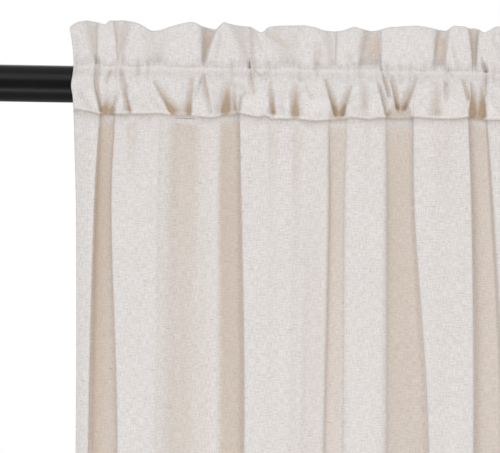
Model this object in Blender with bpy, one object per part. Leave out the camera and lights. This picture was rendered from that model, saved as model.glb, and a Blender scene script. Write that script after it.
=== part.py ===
"""Cafe curtain on its rod: a gathered rod-pocket panel and the round rod that it hangs on.

Metres, +Z up. The rod lies along +X from the origin, which is the centre of its left end face.
The front of the cloth faces -Y. The tables are in millimetres, and MM turns them into metres.
"""

import math
from collections import namedtuple

import bmesh
import bpy

MM = 0.001

# Rod
ROD_LENGTH = 0.615
ROD_RADIUS = 0.011
ROD_SIDES = 48
ROD_EDGE_BEVEL = 0.0006

# Panel: places along the rod, and heights from the rod's axis
PANEL_LEFT = 0.070
PANEL_WIDTH = 0.475
HEADING_LENGTH = 0.0262
PANEL_DROP = 0.610
PINCH_HEIGHT = 0.0132
SEAM_HEIGHT = -0.0173
HEADING_TOP = PINCH_HEIGHT + 0.0250
HEM_HEIGHT = HEADING_TOP - PANEL_DROP

# Panel: thicknesses and turnings
CLOTH_THICK = 0.0020
HEM_THICK = 0.0028
POCKET_LAYER_THICK = 0.0012
SIDE_HEM_WIDTH = 0.0095
BOTTOM_HEM_WIDTH = 0.0254

# Pocket: its layers stand off the rod, and its inside comes to a ridge above and below it
POCKET_RADIUS = 0.0125
POCKET_ROWS = 4
POCKET_FRONT_SWELL = 0.0048
POCKET_BACK_SWELL = 0.0034
SWELL_SMOOTHING = 2
SEAM_LIFT = 0.0012
POCKET_ROOF_DROP = 0.0008
POCKET_FLOOR_RISE = 0.0009

# Folds of the body, at four heights: the seam, two below it, and the hem. Each fold is shallow
# and sharp where the seam holds it, and deeper and rounder lower down.
LEVELS = (SEAM_HEIGHT, -0.070, -0.207, HEM_HEIGHT)
LEVEL_DEPTHS = (0.55, 0.95, 1.02, 1.12)
LEVEL_LAPS = (0.25, 0.9, 1.0, 0.8)
LEVEL_ROUNDINGS = (0.0030, 0.0042, 0.0055, 0.0080)
FULL_LEVEL = 2

# Columns of the cloth: how many go round the corner of a ridge or of a valley's floor, and how
# long a straight stretch may be before it takes one more
RIDGE_CORNER_COLUMNS = 3
FLOOR_CORNER_COLUMNS = 2
CROWN_COLUMNS = 1
STRAIGHT_STRETCH = 0.0085
LONGEST_ROUNDING = 0.45

# A valley is where the cloth folds back between two ridges that lap over it.
# seam, upper, lower, hem: its left and right edge at each level, in mm along the rod.
# back_left, back_right: how far its floor lies behind the rod's axis at each side.
# lap_left, lap_right: how far the ridge on each side laps over it.
Valley = namedtuple("Valley", "seam upper lower hem back_left back_right lap_left lap_right")
VALLEYS = (
    Valley((85.8, 94.7), (82.1, 93.8), (83.5, 99.3), (84.5, 101.5), 7.0, 9.5, 2.5, 4.5),
    Valley((156.9, 168.8), (157.4, 170.5), (159.1, 174.0), (161.0, 177.5), 8.5, 11.0, 1.5, 5.0),
    Valley((221.4, 232.7), (221.7, 232.4), (221.6, 234.7), (220.0, 237.0), 9.5, 7.5, 4.0, 3.5),
    Valley((255.3, 272.0), (256.3, 273.6), (258.5, 283.5), (260.0, 289.0), 8.5, 11.5, 4.0, 4.0),
    Valley((304.7, 316.0), (307.7, 320.4), (310.8, 328.7), (313.0, 333.0), 11.0, 8.5, 4.5, 3.0),
    Valley((352.5, 364.0), (352.0, 365.5), (350.5, 368.0), (351.0, 371.0), 7.5, 9.5, 3.5, 4.0),
    Valley((397.0, 411.5), (396.0, 411.0), (394.0, 412.0), (391.0, 412.5), 11.0, 9.0, 4.0, 3.5),
    Valley((449.0, 459.5), (447.5, 459.5), (445.0, 460.0), (441.0, 458.0), 7.0, 9.5, 3.5, 4.5),
    Valley((499.5, 513.0), (497.5, 511.5), (491.5, 508.5), (486.0, 505.0), 10.0, 8.0, 4.0, 3.0),
)

# A ridge runs between two valleys. start, crown, end: how far in front of the rod's axis it lies
# at its left edge, at its crown and at its right edge. at: where the crown is, as a share of it.
Ridge = namedtuple("Ridge", "start crown end at")
RIDGES = (
    Ridge(6.0, 7.5, 7.5, 0.55),
    Ridge(8.5, 9.5, 1.0, 0.40),
    Ridge(9.0, 10.5, 9.0, 0.35),
    Ridge(8.0, 9.0, 8.5, 0.50),
    Ridge(9.0, 10.5, 9.0, 0.60),
    Ridge(8.0, 9.5, 8.0, 0.45),
    Ridge(8.5, 9.0, 8.0, 0.60),
    Ridge(9.5, 11.0, 6.5, 0.40),
    Ridge(8.0, 9.5, 8.5, 0.55),
    Ridge(8.0, 8.5, 6.5, 0.45),
)

# The outer edges of the panel at each level, in mm along the rod
LEFT_EDGE = (70.3, 72.3, 75.2, 78.0)
RIGHT_EDGE = (544.7, 542.5, 537.0, 531.0)

# Folds of the heading. centre and half_width in mm along the rod, and back: how far the
# top edge leans back there from the line of the ridges.
HeadingFold = namedtuple("HeadingFold", "centre half_width back")
HEADING_FOLDS = (
    HeadingFold(80.0, 4.5, 8.5),
    HeadingFold(96.5, 5.5, 8.0),
    HeadingFold(121.0, 8.0, 10.0),
    HeadingFold(150.0, 4.5, 13.0),
    HeadingFold(171.0, 6.0, 10.5),
    HeadingFold(193.5, 8.0, 4.5),
    HeadingFold(223.0, 6.0, 11.0),
    HeadingFold(246.5, 6.5, 12.5),
    HeadingFold(288.5, 4.5, 12.0),
    HeadingFold(307.5, 4.5, 13.0),
    HeadingFold(334.0, 7.0, 9.0),
    HeadingFold(361.0, 5.5, 12.5),
    HeadingFold(386.0, 8.5, 8.0),
    HeadingFold(409.5, 5.0, 13.0),
    HeadingFold(436.0, 6.5, 9.5),
    HeadingFold(462.0, 5.0, 12.5),
    HeadingFold(489.0, 7.5, 9.0),
    HeadingFold(510.0, 5.0, 12.0),
    HeadingFold(532.0, 4.5, 8.0),
)
HEADING_FRONT = 0.0060
HEADING_DIP = 0.26
PINCH_SHARE = 0.22
HEADING_CORNER_FLARE = 0.0028
HEADING_FLARE_REACH = 0.012
HEADING_FOLD_SOFTNESS = 1.6

# Rows of the cloth. A heading row is the share of the way from its top edge to the pinch line,
# a body row is its height, and the bottom hem's thickness comes in over a short step.
HEADING_ROWS = (0.0, 0.45)
BODY_ROWS = (-0.036, -0.070, -0.130, -0.230, -0.390)
HEM_STEP = 0.0016

# Finishes
SHARP_ANGLE = math.radians(50)
CLOTH_COLOUR = (0.73, 0.69, 0.63, 1.0)
CLOTH_ROUGHNESS = 0.9
ROD_COLOUR = (0.012, 0.011, 0.012, 1.0)
ROD_ROUGHNESS = 0.38
ROD_METALLIC = 0.4


def clear_scene():
    """Remove every object that the file opened with."""
    for obj in list(bpy.data.objects):
        bpy.data.objects.remove(obj, do_unlink=True)


def make_material(name, colour, roughness, metallic):
    """Return a Principled material in one colour."""
    material = bpy.data.materials.new(name)
    material.use_nodes = True
    shader = material.node_tree.nodes["Principled BSDF"]
    shader.inputs["Base Color"].default_value = colour
    shader.inputs["Roughness"].default_value = roughness
    shader.inputs["Metallic"].default_value = metallic
    return material


def add_object(name, mesh_builder, material):
    """Turn a bmesh into a named, smooth-shaded object with one material."""
    mesh = bpy.data.meshes.new(name)
    mesh_builder.to_mesh(mesh)
    mesh_builder.free()
    mesh.shade_smooth()
    mesh.set_sharp_from_angle(angle=SHARP_ANGLE)
    mesh.materials.append(material)
    obj = bpy.data.objects.new(name, mesh)
    bpy.context.scene.collection.objects.link(obj)
    return obj


def smooth(value):
    """Ease a share from 0 to 1, flat at both ends."""
    value = min(1.0, max(0.0, value))
    return value * value * (3.0 - 2.0 * value)


def blend(a, b, share):
    """Return the point that lies a share of the way from a to b."""
    return a + (b - a) * share


def corner_points(before, corner, after, columns, rounding):
    """Round one corner of a fold and return its columns, as plan points.

    A corner with all its columns has one at each end of the bend, and one with fewer has none.
    """
    legs = []
    for end in (before, after):
        length = math.dist(corner, end)
        reach = min(rounding, LONGEST_ROUNDING * length) / length
        legs.append((blend(corner[0], end[0], reach), blend(corner[1], end[1], reach)))
    points = []
    for step in range(columns):
        t = (step + 1) / (columns + 1) if columns < RIDGE_CORNER_COLUMNS else step / (columns - 1)
        first = (1.0 - t) ** 2
        middle = 2.0 * t * (1.0 - t)
        last = t ** 2
        x = first * legs[0][0] + middle * corner[0] + last * legs[1][0]
        y = first * legs[0][1] + middle * corner[1] + last * legs[1][1]
        points.append((x, y))
    return points


def body_corners(level):
    """Return the corners of the cloth's plan at one level, each with its number of columns."""
    depth = LEVEL_DEPTHS[level]
    lap = LEVEL_LAPS[level]
    edges = [valley[level] for valley in VALLEYS]
    starts = [LEFT_EDGE[level]] + [edge[1] for edge in edges]
    ends = [edge[0] for edge in edges] + [RIGHT_EDGE[level]]
    corners = []
    for index, ridge in enumerate(RIDGES):
        start = starts[index]
        end = ends[index]
        crown = blend(start, end, ridge.at)
        corners.append((start, -ridge.start * depth, RIDGE_CORNER_COLUMNS))
        corners.append((crown, -ridge.crown * depth, CROWN_COLUMNS))
        corners.append((end, -ridge.end * depth, RIDGE_CORNER_COLUMNS))
        if index < len(VALLEYS):
            valley = VALLEYS[index]
            left = end - valley.lap_left * lap
            right = edges[index][1] + valley.lap_right * lap
            corners.append((left, valley.back_left * depth, FLOOR_CORNER_COLUMNS))
            corners.append((right, valley.back_right * depth, FLOOR_CORNER_COLUMNS))
    return [((x * MM, y * MM), columns) for x, y, columns in corners]


def straight_columns():
    """Return how many columns each straight stretch between two corners takes, at every level."""
    corners = [corner for corner, columns in body_corners(FULL_LEVEL)]
    return [int(math.dist(a, b) / STRAIGHT_STRETCH) - 1 for a, b in zip(corners, corners[1:])]


def body_plan(level):
    """Return the cloth's plan at one level, with the same number of columns at every level."""
    corners = body_corners(level)
    rounding = LEVEL_ROUNDINGS[level]
    bends = [[corners[0][0]]]
    for (before, _), (corner, columns), (after, _) in zip(corners, corners[1:], corners[2:]):
        bends.append(corner_points(before, corner, after, columns, rounding))
    bends.append([corners[-1][0]])
    points = list(bends[0])
    for columns, last, bend in zip(straight_columns(), bends, bends[1:]):
        for step in range(1, columns + 1):
            share = step / (columns + 1)
            points.append((blend(last[-1][0], bend[0][0], share),
                           blend(last[-1][1], bend[0][1], share)))
        points.extend(bend)
    return points


def gathered_places(plan):
    """Spread the columns along the rod by their share of the cloth's length, as even gathers do."""
    lengths = [0.0]
    for a, b in zip(plan, plan[1:]):
        lengths.append(lengths[-1] + math.dist(a, b))
    return [PANEL_LEFT + PANEL_WIDTH * length / lengths[-1] for length in lengths]


def plan_at(height, plans):
    """Return the plan at any height of the body, on a smooth curve through the four levels."""
    last = len(LEVELS) - 1
    span = 0
    while span < last - 1 and height < LEVELS[span + 1]:
        span += 1
    top = LEVELS[span]
    bottom = LEVELS[span + 1]
    t = (height - top) / (bottom - top)
    points = []
    for column in range(len(plans[0])):
        point = []
        for axis in (0, 1):
            values = [plan[column][axis] for plan in plans]
            slopes = []
            for knot in (span, span + 1):
                low = max(0, knot - 1)
                high = min(last, knot + 1)
                slopes.append((values[high] - values[low]) / (LEVELS[high] - LEVELS[low]))
            run = bottom - top
            h00 = 2 * t ** 3 - 3 * t ** 2 + 1
            h10 = t ** 3 - 2 * t ** 2 + t
            h01 = -2 * t ** 3 + 3 * t ** 2
            h11 = t ** 3 - t ** 2
            value = h00 * values[span] + h10 * run * slopes[0]
            value += h01 * values[span + 1] + h11 * run * slopes[1]
            point.append(value)
        points.append(tuple(point))
    return points


def heading_lean(x):
    """Return how far the top edge stands behind the rod's axis at one place along it."""
    lean = -HEADING_FRONT
    for fold in HEADING_FOLDS:
        offset = abs(x - fold.centre * MM) / (fold.half_width * MM)
        lean += fold.back * MM * smooth(HEADING_FOLD_SOFTNESS - offset)
    return lean


def heading_row(share, places):
    """Return one row of the heading: share 0 is its top edge, and 1 is the pinch line."""
    row = []
    for x in places:
        lean = heading_lean(x)
        dip = HEADING_DIP * max(0.0, lean + HEADING_FRONT)
        rise = (math.sqrt(HEADING_LENGTH ** 2 - lean ** 2) - dip) * (1.0 - share)
        from_left = (x - PANEL_LEFT) / HEADING_FLARE_REACH
        from_right = (PANEL_LEFT + PANEL_WIDTH - x) / HEADING_FLARE_REACH
        flare = HEADING_CORNER_FLARE * (smooth(1.0 - from_right) - smooth(1.0 - from_left))
        y = lean * blend(1.0, PINCH_SHARE, share)
        row.append((x + flare * (1.0 - share), y, PINCH_HEIGHT + rise))
    return row


def valley_shares(seam):
    """Return how far back each column lies at the seam, from 0 on a ridge to 1 on a floor."""
    front = min(y for _, y in seam)
    back = max(y for _, y in seam)
    shares = [(y - front) / (back - front) for _, y in seam]
    for _ in range(SWELL_SMOOTHING):
        padded = [shares[0], *shares, shares[-1]]
        shares = [(a + 2.0 * b + c) / 4.0 for a, b, c in zip(padded, padded[1:], padded[2:])]
    return shares


def pocket_row(index, side, places, seam):
    """Return one row of a pocket layer. side is -1 for the front layer and 1 for the back one."""
    share = index / (POCKET_ROWS + 1)
    angle = math.pi * share
    row = []
    for x, (seam_x, _), back in zip(places, seam, valley_shares(seam)):
        if side < 0:
            swell = POCKET_FRONT_SWELL * smooth(1.0 - back)
        else:
            swell = POCKET_BACK_SWELL * smooth(back)
        radius = POCKET_RADIUS + swell * math.sin(angle)
        row.append((blend(x, seam_x, smooth(share)),
                    side * radius * math.sin(angle),
                    radius * math.cos(angle)))
    return row


def seam_row(seam):
    """Return the row at the pocket's seam, which the valleys draw up a little."""
    return [(x, y, SEAM_HEIGHT + SEAM_LIFT * back) for (x, y), back in zip(seam, valley_shares(seam))]


def cross(a, b):
    """Return the cross product of two vectors."""
    return (a[1] * b[2] - a[2] * b[1], a[2] * b[0] - a[0] * b[2], a[0] * b[1] - a[1] * b[0])


def offset_point(rows, row, column, distance):
    """Move one point of a layer along the layer's own normal. A positive distance is forwards."""
    left = rows[row][max(0, column - 1)]
    right = rows[row][min(len(rows[row]) - 1, column + 1)]
    above = rows[max(0, row - 1)][column]
    below = rows[min(len(rows) - 1, row + 1)][column]
    along = [b - a for a, b in zip(left, right)]
    down = [b - a for a, b in zip(above, below)]
    normal = cross(down, along)
    length = math.sqrt(sum(value * value for value in normal))
    point = rows[row][column]
    return tuple(value + distance * part / length for value, part in zip(point, normal))


def thickness_at(height, place_from_edge):
    """Return the cloth's thickness, which is greater in the hems."""
    in_bottom_hem = height < HEM_HEIGHT + BOTTOM_HEM_WIDTH + HEM_STEP / 2
    in_side_hem = place_from_edge < SIDE_HEM_WIDTH
    return HEM_THICK if in_bottom_hem or in_side_hem else CLOTH_THICK


def layer_rows(side, places, plans):
    """Return the rows of the cloth from its top edge to its hem, past one side of the rod."""
    seam = plans[0]
    rows = [heading_row(share, places) for share in HEADING_ROWS]
    rows.append(heading_row(1.0, places))
    for index in range(1, POCKET_ROWS + 1):
        rows.append(pocket_row(index, side, places, seam))
    rows.append(seam_row(seam))
    hem_top = HEM_HEIGHT + BOTTOM_HEM_WIDTH
    for height in (*BODY_ROWS, hem_top + HEM_STEP, hem_top, HEM_HEIGHT):
        rows.append([(x, y, height) for x, y in plan_at(height, plans)])
    return rows


def add_grid(mesh, rows):
    """Join rows of vertices with quads."""
    for upper, lower in zip(rows, rows[1:]):
        for column in range(len(upper) - 1):
            mesh.faces.new((upper[column], upper[column + 1], lower[column + 1], lower[column]))


def build_panel(material):
    """Model the gathered panel as one closed sheet with the rod pocket running through it."""
    plans = [body_plan(level) for level in range(len(LEVELS))]
    places = gathered_places(plans[FULL_LEVEL])
    pinch = len(HEADING_ROWS)
    seam = pinch + POCKET_ROWS + 1
    mesh = bmesh.new()
    outer = {}
    inner = {}
    for side in (-1, 1):
        rows = layer_rows(side, places, plans)
        outer[side] = []
        inner[side] = []
        for row, points in enumerate(rows):
            in_pocket = pinch < row < seam
            outer_row = []
            inner_row = []
            for column, point in enumerate(points):
                edge = min(places[column] - PANEL_LEFT, PANEL_LEFT + PANEL_WIDTH - places[column])
                thick = thickness_at(point[2], edge)
                if in_pocket:
                    thick = POCKET_LAYER_THICK
                    spot = offset_point(rows, row, column, side * thick / 2)
                    inner_row.append(mesh.verts.new(spot))
                spot = offset_point(rows, row, column, -side * thick / 2)
                outer_row.append(mesh.verts.new(spot))
            outer[side].append(outer_row)
            if in_pocket:
                inner[side].append(inner_row)
    front = layer_rows(-1, places, plans)
    roof = [mesh.verts.new((x, y, z - POCKET_ROOF_DROP)) for x, y, z in front[pinch]]
    floor = [mesh.verts.new((x, y, z + POCKET_FLOOR_RISE)) for x, y, z in front[seam]]
    for side in (-1, 1):
        add_grid(mesh, outer[side])
        add_grid(mesh, [roof, *inner[side], floor])
    add_grid(mesh, [outer[-1][0], outer[1][0]])
    add_grid(mesh, [outer[-1][-1], outer[1][-1]])
    for column in (0, -1):
        close_side_edge(mesh, column, outer, inner, roof, floor, pinch, seam)
    bmesh.ops.recalc_face_normals(mesh, faces=mesh.faces)
    return add_object("panel", mesh, material)


def close_side_edge(mesh, column, outer, inner, roof, floor, pinch, seam):
    """Close one side edge of the cloth, leaving the pocket's mouth open."""
    front = [row[column] for row in outer[-1]]
    back = [row[column] for row in outer[1]]
    single = list(range(pinch)) + list(range(seam, len(front) - 1))
    for row in single:
        mesh.faces.new((front[row], front[row + 1], back[row + 1], back[row]))
    mesh.faces.new((front[pinch], roof[column], back[pinch]))
    mesh.faces.new((front[seam], floor[column], back[seam]))
    for side, skin in ((-1, front), (1, back)):
        lining = [roof[column], *[row[column] for row in inner[side]], floor[column]]
        for step in range(len(lining) - 1):
            row = pinch + step
            mesh.faces.new((skin[row], skin[row + 1], lining[step + 1], lining[step]))


def build_rod(material):
    """Model the round rod, with a fine bevel at each end."""
    mesh = bmesh.new()
    bmesh.ops.create_cone(mesh, cap_ends=True, cap_tris=False, segments=ROD_SIDES,
                          radius1=ROD_RADIUS, radius2=ROD_RADIUS, depth=ROD_LENGTH)
    rims = [edge for edge in mesh.edges if abs(edge.verts[0].co.z - edge.verts[1].co.z) < MM]
    bmesh.ops.bevel(mesh, geom=rims, offset=ROD_EDGE_BEVEL, segments=1, affect="EDGES")
    rod = add_object("rod", mesh, material)
    rod.rotation_euler = (0.0, math.pi / 2, 0.0)
    rod.location = (ROD_LENGTH / 2, 0.0, 0.0)
    return rod


def main():
    """Build the curtain and its rod."""
    clear_scene()
    cloth = make_material("oatmeal cloth", CLOTH_COLOUR, CLOTH_ROUGHNESS, 0.0)
    paint = make_material("black rod paint", ROD_COLOUR, ROD_ROUGHNESS, ROD_METALLIC)
    build_panel(cloth)
    build_rod(paint)


main()
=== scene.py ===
"""Cafe curtain on its rod: a sheet of oatmeal cloth, gathered on a round satin-black rod.

Metres, +Z up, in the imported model's frame. The rod lies along +X from the centre of its left end
face, and the front of the cloth faces -Y. Tables are in millimetres, and MM turns them to metres.
"""

import math
from collections import namedtuple

import bmesh
import bpy
import numpy as np
from mathutils import Matrix, Vector


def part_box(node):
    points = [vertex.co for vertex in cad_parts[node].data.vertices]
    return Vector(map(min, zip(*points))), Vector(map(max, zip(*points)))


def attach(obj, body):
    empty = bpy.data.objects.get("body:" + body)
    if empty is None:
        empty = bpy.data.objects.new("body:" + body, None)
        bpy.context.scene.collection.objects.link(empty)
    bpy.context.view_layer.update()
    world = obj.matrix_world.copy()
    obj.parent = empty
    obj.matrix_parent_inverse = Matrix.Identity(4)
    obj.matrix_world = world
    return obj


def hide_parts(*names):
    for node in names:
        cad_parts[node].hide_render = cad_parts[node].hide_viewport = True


bl_info = {
    "name": "Cafe Curtain",
    "version": (1, 0, 0),
    "blender": (4, 5, 0),
    "location": "3D View > Sidebar > Curtain",
    "description": "Dresses the packed cafe curtain and its rod with cloth, stitches and paint",
    "category": "Object",
}

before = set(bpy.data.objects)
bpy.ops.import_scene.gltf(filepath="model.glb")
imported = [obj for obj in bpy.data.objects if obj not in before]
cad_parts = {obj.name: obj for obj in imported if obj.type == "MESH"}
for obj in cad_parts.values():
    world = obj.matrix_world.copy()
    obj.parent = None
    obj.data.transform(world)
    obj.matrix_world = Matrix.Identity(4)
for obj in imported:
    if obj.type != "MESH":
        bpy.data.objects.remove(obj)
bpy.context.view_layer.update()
ROD_LOW, ROD_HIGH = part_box("rod")

MM = 0.001

# Cloth: heights from the rod's axis, and the turnings
PINCH_RADIUS = 12.0
PINCH_BACK_RADIUS = 11.7
SEAM_HEIGHT = -17.3
HEM_HEIGHT = -571.8
CLOTH_WIDTH = 762.0
HEADING_LENGTH = 26.2
POCKET_LENGTH = 38.0
SIDE_HEM = 9.5
BOTTOM_HEM = 25.4
LAYER_GAP = 1.2
HEM_GAP = 0.6

# Cloth: columns of the mesh. The part with the finer folds takes more of them.
FINE_SHARE = 0.55
FINE_COLUMNS = 570
COARSE_COLUMNS = 250
HEM_COLUMNS = 9
BEND_POINTS = 14
STRAIGHT_POINTS = 12

# Cloth: rows of the mesh
TURNED_ROWS = 2
BACK_POCKET_ROWS = 11
BACK_HEADING_ROWS = 6
HEADING_ROWS = 18
POCKET_ROWS = 46
BODY_ROWS = (0.9, 1.8, 3.5, 6.0, 9.5, 14.5, 21.0, 29.0, 39.0, 51.0, 66.0, 84.0, 105.0, 129.0,
             157.0, 190.0, 228.0, 272.0, 322.0, 376.0, 432.0, 484.0, 520.0, 529.1, 541.5, 554.1)

# Folds of the body at four heights: the seam, two below it, and the hem
LEVELS = (SEAM_HEIGHT, -70.0, -207.0, HEM_HEIGHT)
LEVEL_DEPTHS = (0.55, 0.95, 1.02, 1.12)
LEVEL_LAPS = (0.2, 0.45, 0.45, 0.45)
LEVEL_ROUNDINGS = (2.2, 3.2, 4.4, 7.0)
SOFT_EDGE = 1.7
SHARP_EDGE = 0.4

# A valley is where the cloth folds back between two ridges that lap over it.
# seam, upper, lower, hem: its left and right edge at each level, in mm along the rod.
# back_left, back_right: how far its floor lies behind the rod's axis at each side.
# lap_left, lap_right: how far the ridge on each side laps over it. kept: how much of its depth
# it has at each level.
Valley = namedtuple("Valley", "seam upper lower hem back_left back_right lap_left lap_right kept")
VALLEYS = (
    Valley((85.8, 94.7), (83.4, 93.3), (83.0, 99.3), (84.0, 101.5),
           1.5, -2.0, 1.0, 1.0, (0.85, 0.75, 0.85, 1.5)),
    Valley((156.9, 168.8), (157.4, 170.5), (159.1, 174.0), (161.0, 177.5),
           -4.0, -0.5, -5.0, 2.0, (0.85, 0.75, 0.85, 1.6)),
    Valley((221.4, 232.7), (221.7, 232.4), (221.6, 234.7), (220.0, 237.0),
           -2.5, -4.0, -5.0, -4.0, (0.85, 0.75, 0.8, 1.4)),
    Valley((255.3, 272.0), (256.3, 273.6), (258.5, 283.5), (260.0, 289.0),
           -4.0, -0.5, -6.0, 2.0, (0.85, 0.75, 0.85, 1.6)),
    Valley((304.7, 316.0), (307.7, 320.4), (310.8, 328.7), (313.0, 333.0),
           1.5, -2.0, 1.0, -4.0, (0.85, 0.75, 0.85, 1.5)),
    Valley((352.5, 364.0), (352.0, 365.5), (350.5, 368.0), (351.0, 371.0),
           4.0, 6.0, 1.0, 3.0, (1.0, 1.0, 0.8, 0.8)),
    Valley((397.0, 411.5), (396.0, 411.0), (394.0, 412.0), (391.0, 412.5),
           11.0, 8.0, 3.0, 2.0, (1.0, 1.0, 1.0, 1.0)),
    Valley((449.0, 459.5), (447.5, 459.5), (445.0, 460.0), (441.0, 458.0),
           5.0, 7.0, 1.0, 3.0, (1.0, 1.0, 0.7, 0.7)),
    Valley((499.5, 513.0), (497.5, 511.5), (491.5, 508.5), (486.0, 505.0),
           10.0, 7.0, 3.0, 2.0, (1.0, 1.0, 1.0, 1.0)),
)

# A ridge runs between two valleys. start, crown, end: how far in front of the rod's axis it lies
# at its left edge, at its crown and at its right edge. at: where the crown is, as a share of it.
Ridge = namedtuple("Ridge", "start crown end at")
RIDGES = (
    Ridge(6.0, 7.5, 7.5, 0.55),
    Ridge(8.5, 9.5, 4.0, 0.40),
    Ridge(9.0, 10.5, 9.0, 0.35),
    Ridge(8.0, 9.0, 8.5, 0.50),
    Ridge(9.0, 10.5, 9.0, 0.60),
    Ridge(8.0, 9.5, 8.0, 0.45),
    Ridge(8.5, 9.0, 8.0, 0.60),
    Ridge(9.5, 11.0, 6.5, 0.40),
    Ridge(8.0, 9.5, 8.5, 0.55),
    Ridge(8.0, 8.5, 6.5, 0.45),
)
LEFT_EDGE = (70.3, 72.3, 75.2, 78.0)
RIGHT_EDGE = (544.7, 542.5, 537.0, 531.0)

# Shallow hollows along the face of a ridge. left, right: where it starts and ends along the rod.
# left_run, right_run: how far each side slopes. deep, deep_below: its depth at the seam and
# further down, which it reaches at the height by. tone, tone_below: its painted shade, likewise.
Hollow = namedtuple("Hollow", "left left_run right right_run deep deep_below by tone tone_below")
HOLLOWS = (
    Hollow(101.3, 3.4, 104.6, 4.4, 2.2, 0.0, -62.0, 0.60, 0.0),
    Hollow(120.4, 3.2, 148.0, 9.0, 1.2, 1.0, -207.0, 0.20, 0.34),
    Hollow(124.5, 10.0, 139.5, 8.0, 3.6, 2.2, -150.0, 0.62, 0.36),
    Hollow(185.0, 3.6, 188.6, 4.6, 2.0, 0.3, -62.0, 0.50, 0.10),
    Hollow(199.6, 3.2, 203.4, 4.6, 1.8, 0.3, -90.0, 0.56, 0.22),
    Hollow(206.0, 6.0, 216.0, 6.0, 0.0, 1.6, -140.0, 0.0, 0.28),
    Hollow(243.0, 3.0, 246.0, 4.5, 0.9, 0.4, -60.0, 0.20, 0.0),
    Hollow(284.0, 5.0, 292.5, 6.0, 1.4, 0.5, -75.0, 0.28, 0.08),
    Hollow(334.5, 4.0, 338.0, 4.0, 2.2, 0.3, -55.0, 0.50, 0.06),
    Hollow(380.0, 4.5, 386.0, 6.0, 2.0, 0.8, -90.0, 0.46, 0.14),
    Hollow(429.0, 5.5, 441.0, 8.0, 3.6, 2.8, -190.0, 0.58, 0.42),
    Hollow(476.0, 3.4, 480.0, 4.4, 2.0, 0.2, -55.0, 0.46, 0.04),
    Hollow(527.0, 3.4, 531.0, 4.0, 1.6, 0.2, -50.0, 0.36, 0.0),
)

# Painted shade of the cloth in each valley, darkening its colour where shade falls: at its left
# and right edge, at the seam, two levels below it and the hem. It is 0 on a ridge, 1 in a fold
# and up to 2 in a tight crease. soft_left, soft_right: how far each edge fades near the seam.
# soft_below: how much further it fades at the lower level.
Shade = namedtuple("Shade", "seam upper lower hem soft_left soft_right soft_below")
VALLEY_SHADES = (
    Shade((1.25, 0.95), (1.65, 1.00), (1.40, 0.80), (0.9, 0.7), 1.8, 1.0, 2.0),
    Shade((1.10, 1.10), (1.30, 1.05), (1.15, 1.08), (0.9, 0.9), 4.0, 1.4, 2.0),
    Shade((0.95, 0.80), (1.15, 0.60), (0.80, 0.40), (0.6, 0.4), 3.0, 3.0, 3.5),
    Shade((0.95, 0.90), (1.20, 0.92), (1.00, 0.90), (0.8, 0.8), 4.0, 1.4, 4.0),
    Shade((1.00, 0.95), (1.05, 0.80), (0.85, 0.85), (0.6, 0.6), 1.2, 2.5, 4.0),
    Shade((0.80, 0.95), (0.70, 0.95), (0.50, 0.85), (0.5, 0.8), 4.5, 1.6, 2.0),
    Shade((1.05, 0.75), (1.00, 0.70), (0.85, 0.50), (0.8, 0.5), 1.6, 3.5, 3.0),
    Shade((0.75, 0.90), (0.60, 0.90), (0.45, 0.75), (0.4, 0.7), 5.0, 1.6, 2.0),
    Shade((1.00, 0.80), (1.05, 0.70), (0.90, 0.55), (0.8, 0.5), 1.6, 2.5, 3.0),
)

# Painted shades of the pocket above the seam, where the cloth runs back into a valley. left, right: its
# edges at the seam. top_left, top_right, top: its edges where it starts, and the height there.
# shade: how dark its painted shade is.
Base = namedtuple("Base", "left right top_left top_right top shade")
BASES = (
    Base(85.6, 95.4, 88.6, 90.6, -5.5, 1.05),
    Base(99.0, 104.6, 100.0, 102.2, -3.0, 0.5),
    Base(127.0, 140.5, 121.0, 138.5, -2.5, 0.85),
    Base(157.4, 167.6, 158.0, 164.0, 2.0, 0.95),
    Base(185.0, 190.5, 185.5, 188.5, 1.0, 0.7),
    Base(199.0, 204.5, 198.5, 203.5, 1.0, 0.9),
    Base(221.6, 232.6, 222.6, 231.4, -4.0, 1.0),
    Base(239.5, 246.0, 240.0, 244.5, 3.0, 0.5),
    Base(255.6, 271.4, 260.6, 268.6, -3.5, 1.15),
    Base(280.0, 289.0, 282.0, 287.5, 2.5, 0.5),
    Base(304.8, 315.6, 305.4, 314.6, 3.0, 1.2),
    Base(335.0, 343.0, 337.0, 342.0, 3.0, 0.6),
    Base(352.6, 363.6, 354.0, 362.0, -4.0, 1.0),
    Base(381.0, 389.0, 383.0, 387.0, 2.0, 0.6),
    Base(397.4, 411.0, 401.5, 408.5, -3.0, 1.1),
    Base(429.0, 441.0, 432.0, 438.0, -1.0, 0.6),
    Base(449.2, 459.2, 451.0, 457.6, -3.5, 1.05),
    Base(472.6, 479.6, 473.6, 478.0, 2.0, 0.6),
    Base(499.8, 512.6, 503.0, 510.6, -3.5, 1.1),
    Base(524.0, 531.0, 525.0, 529.4, 2.0, 0.5),
)
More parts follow.
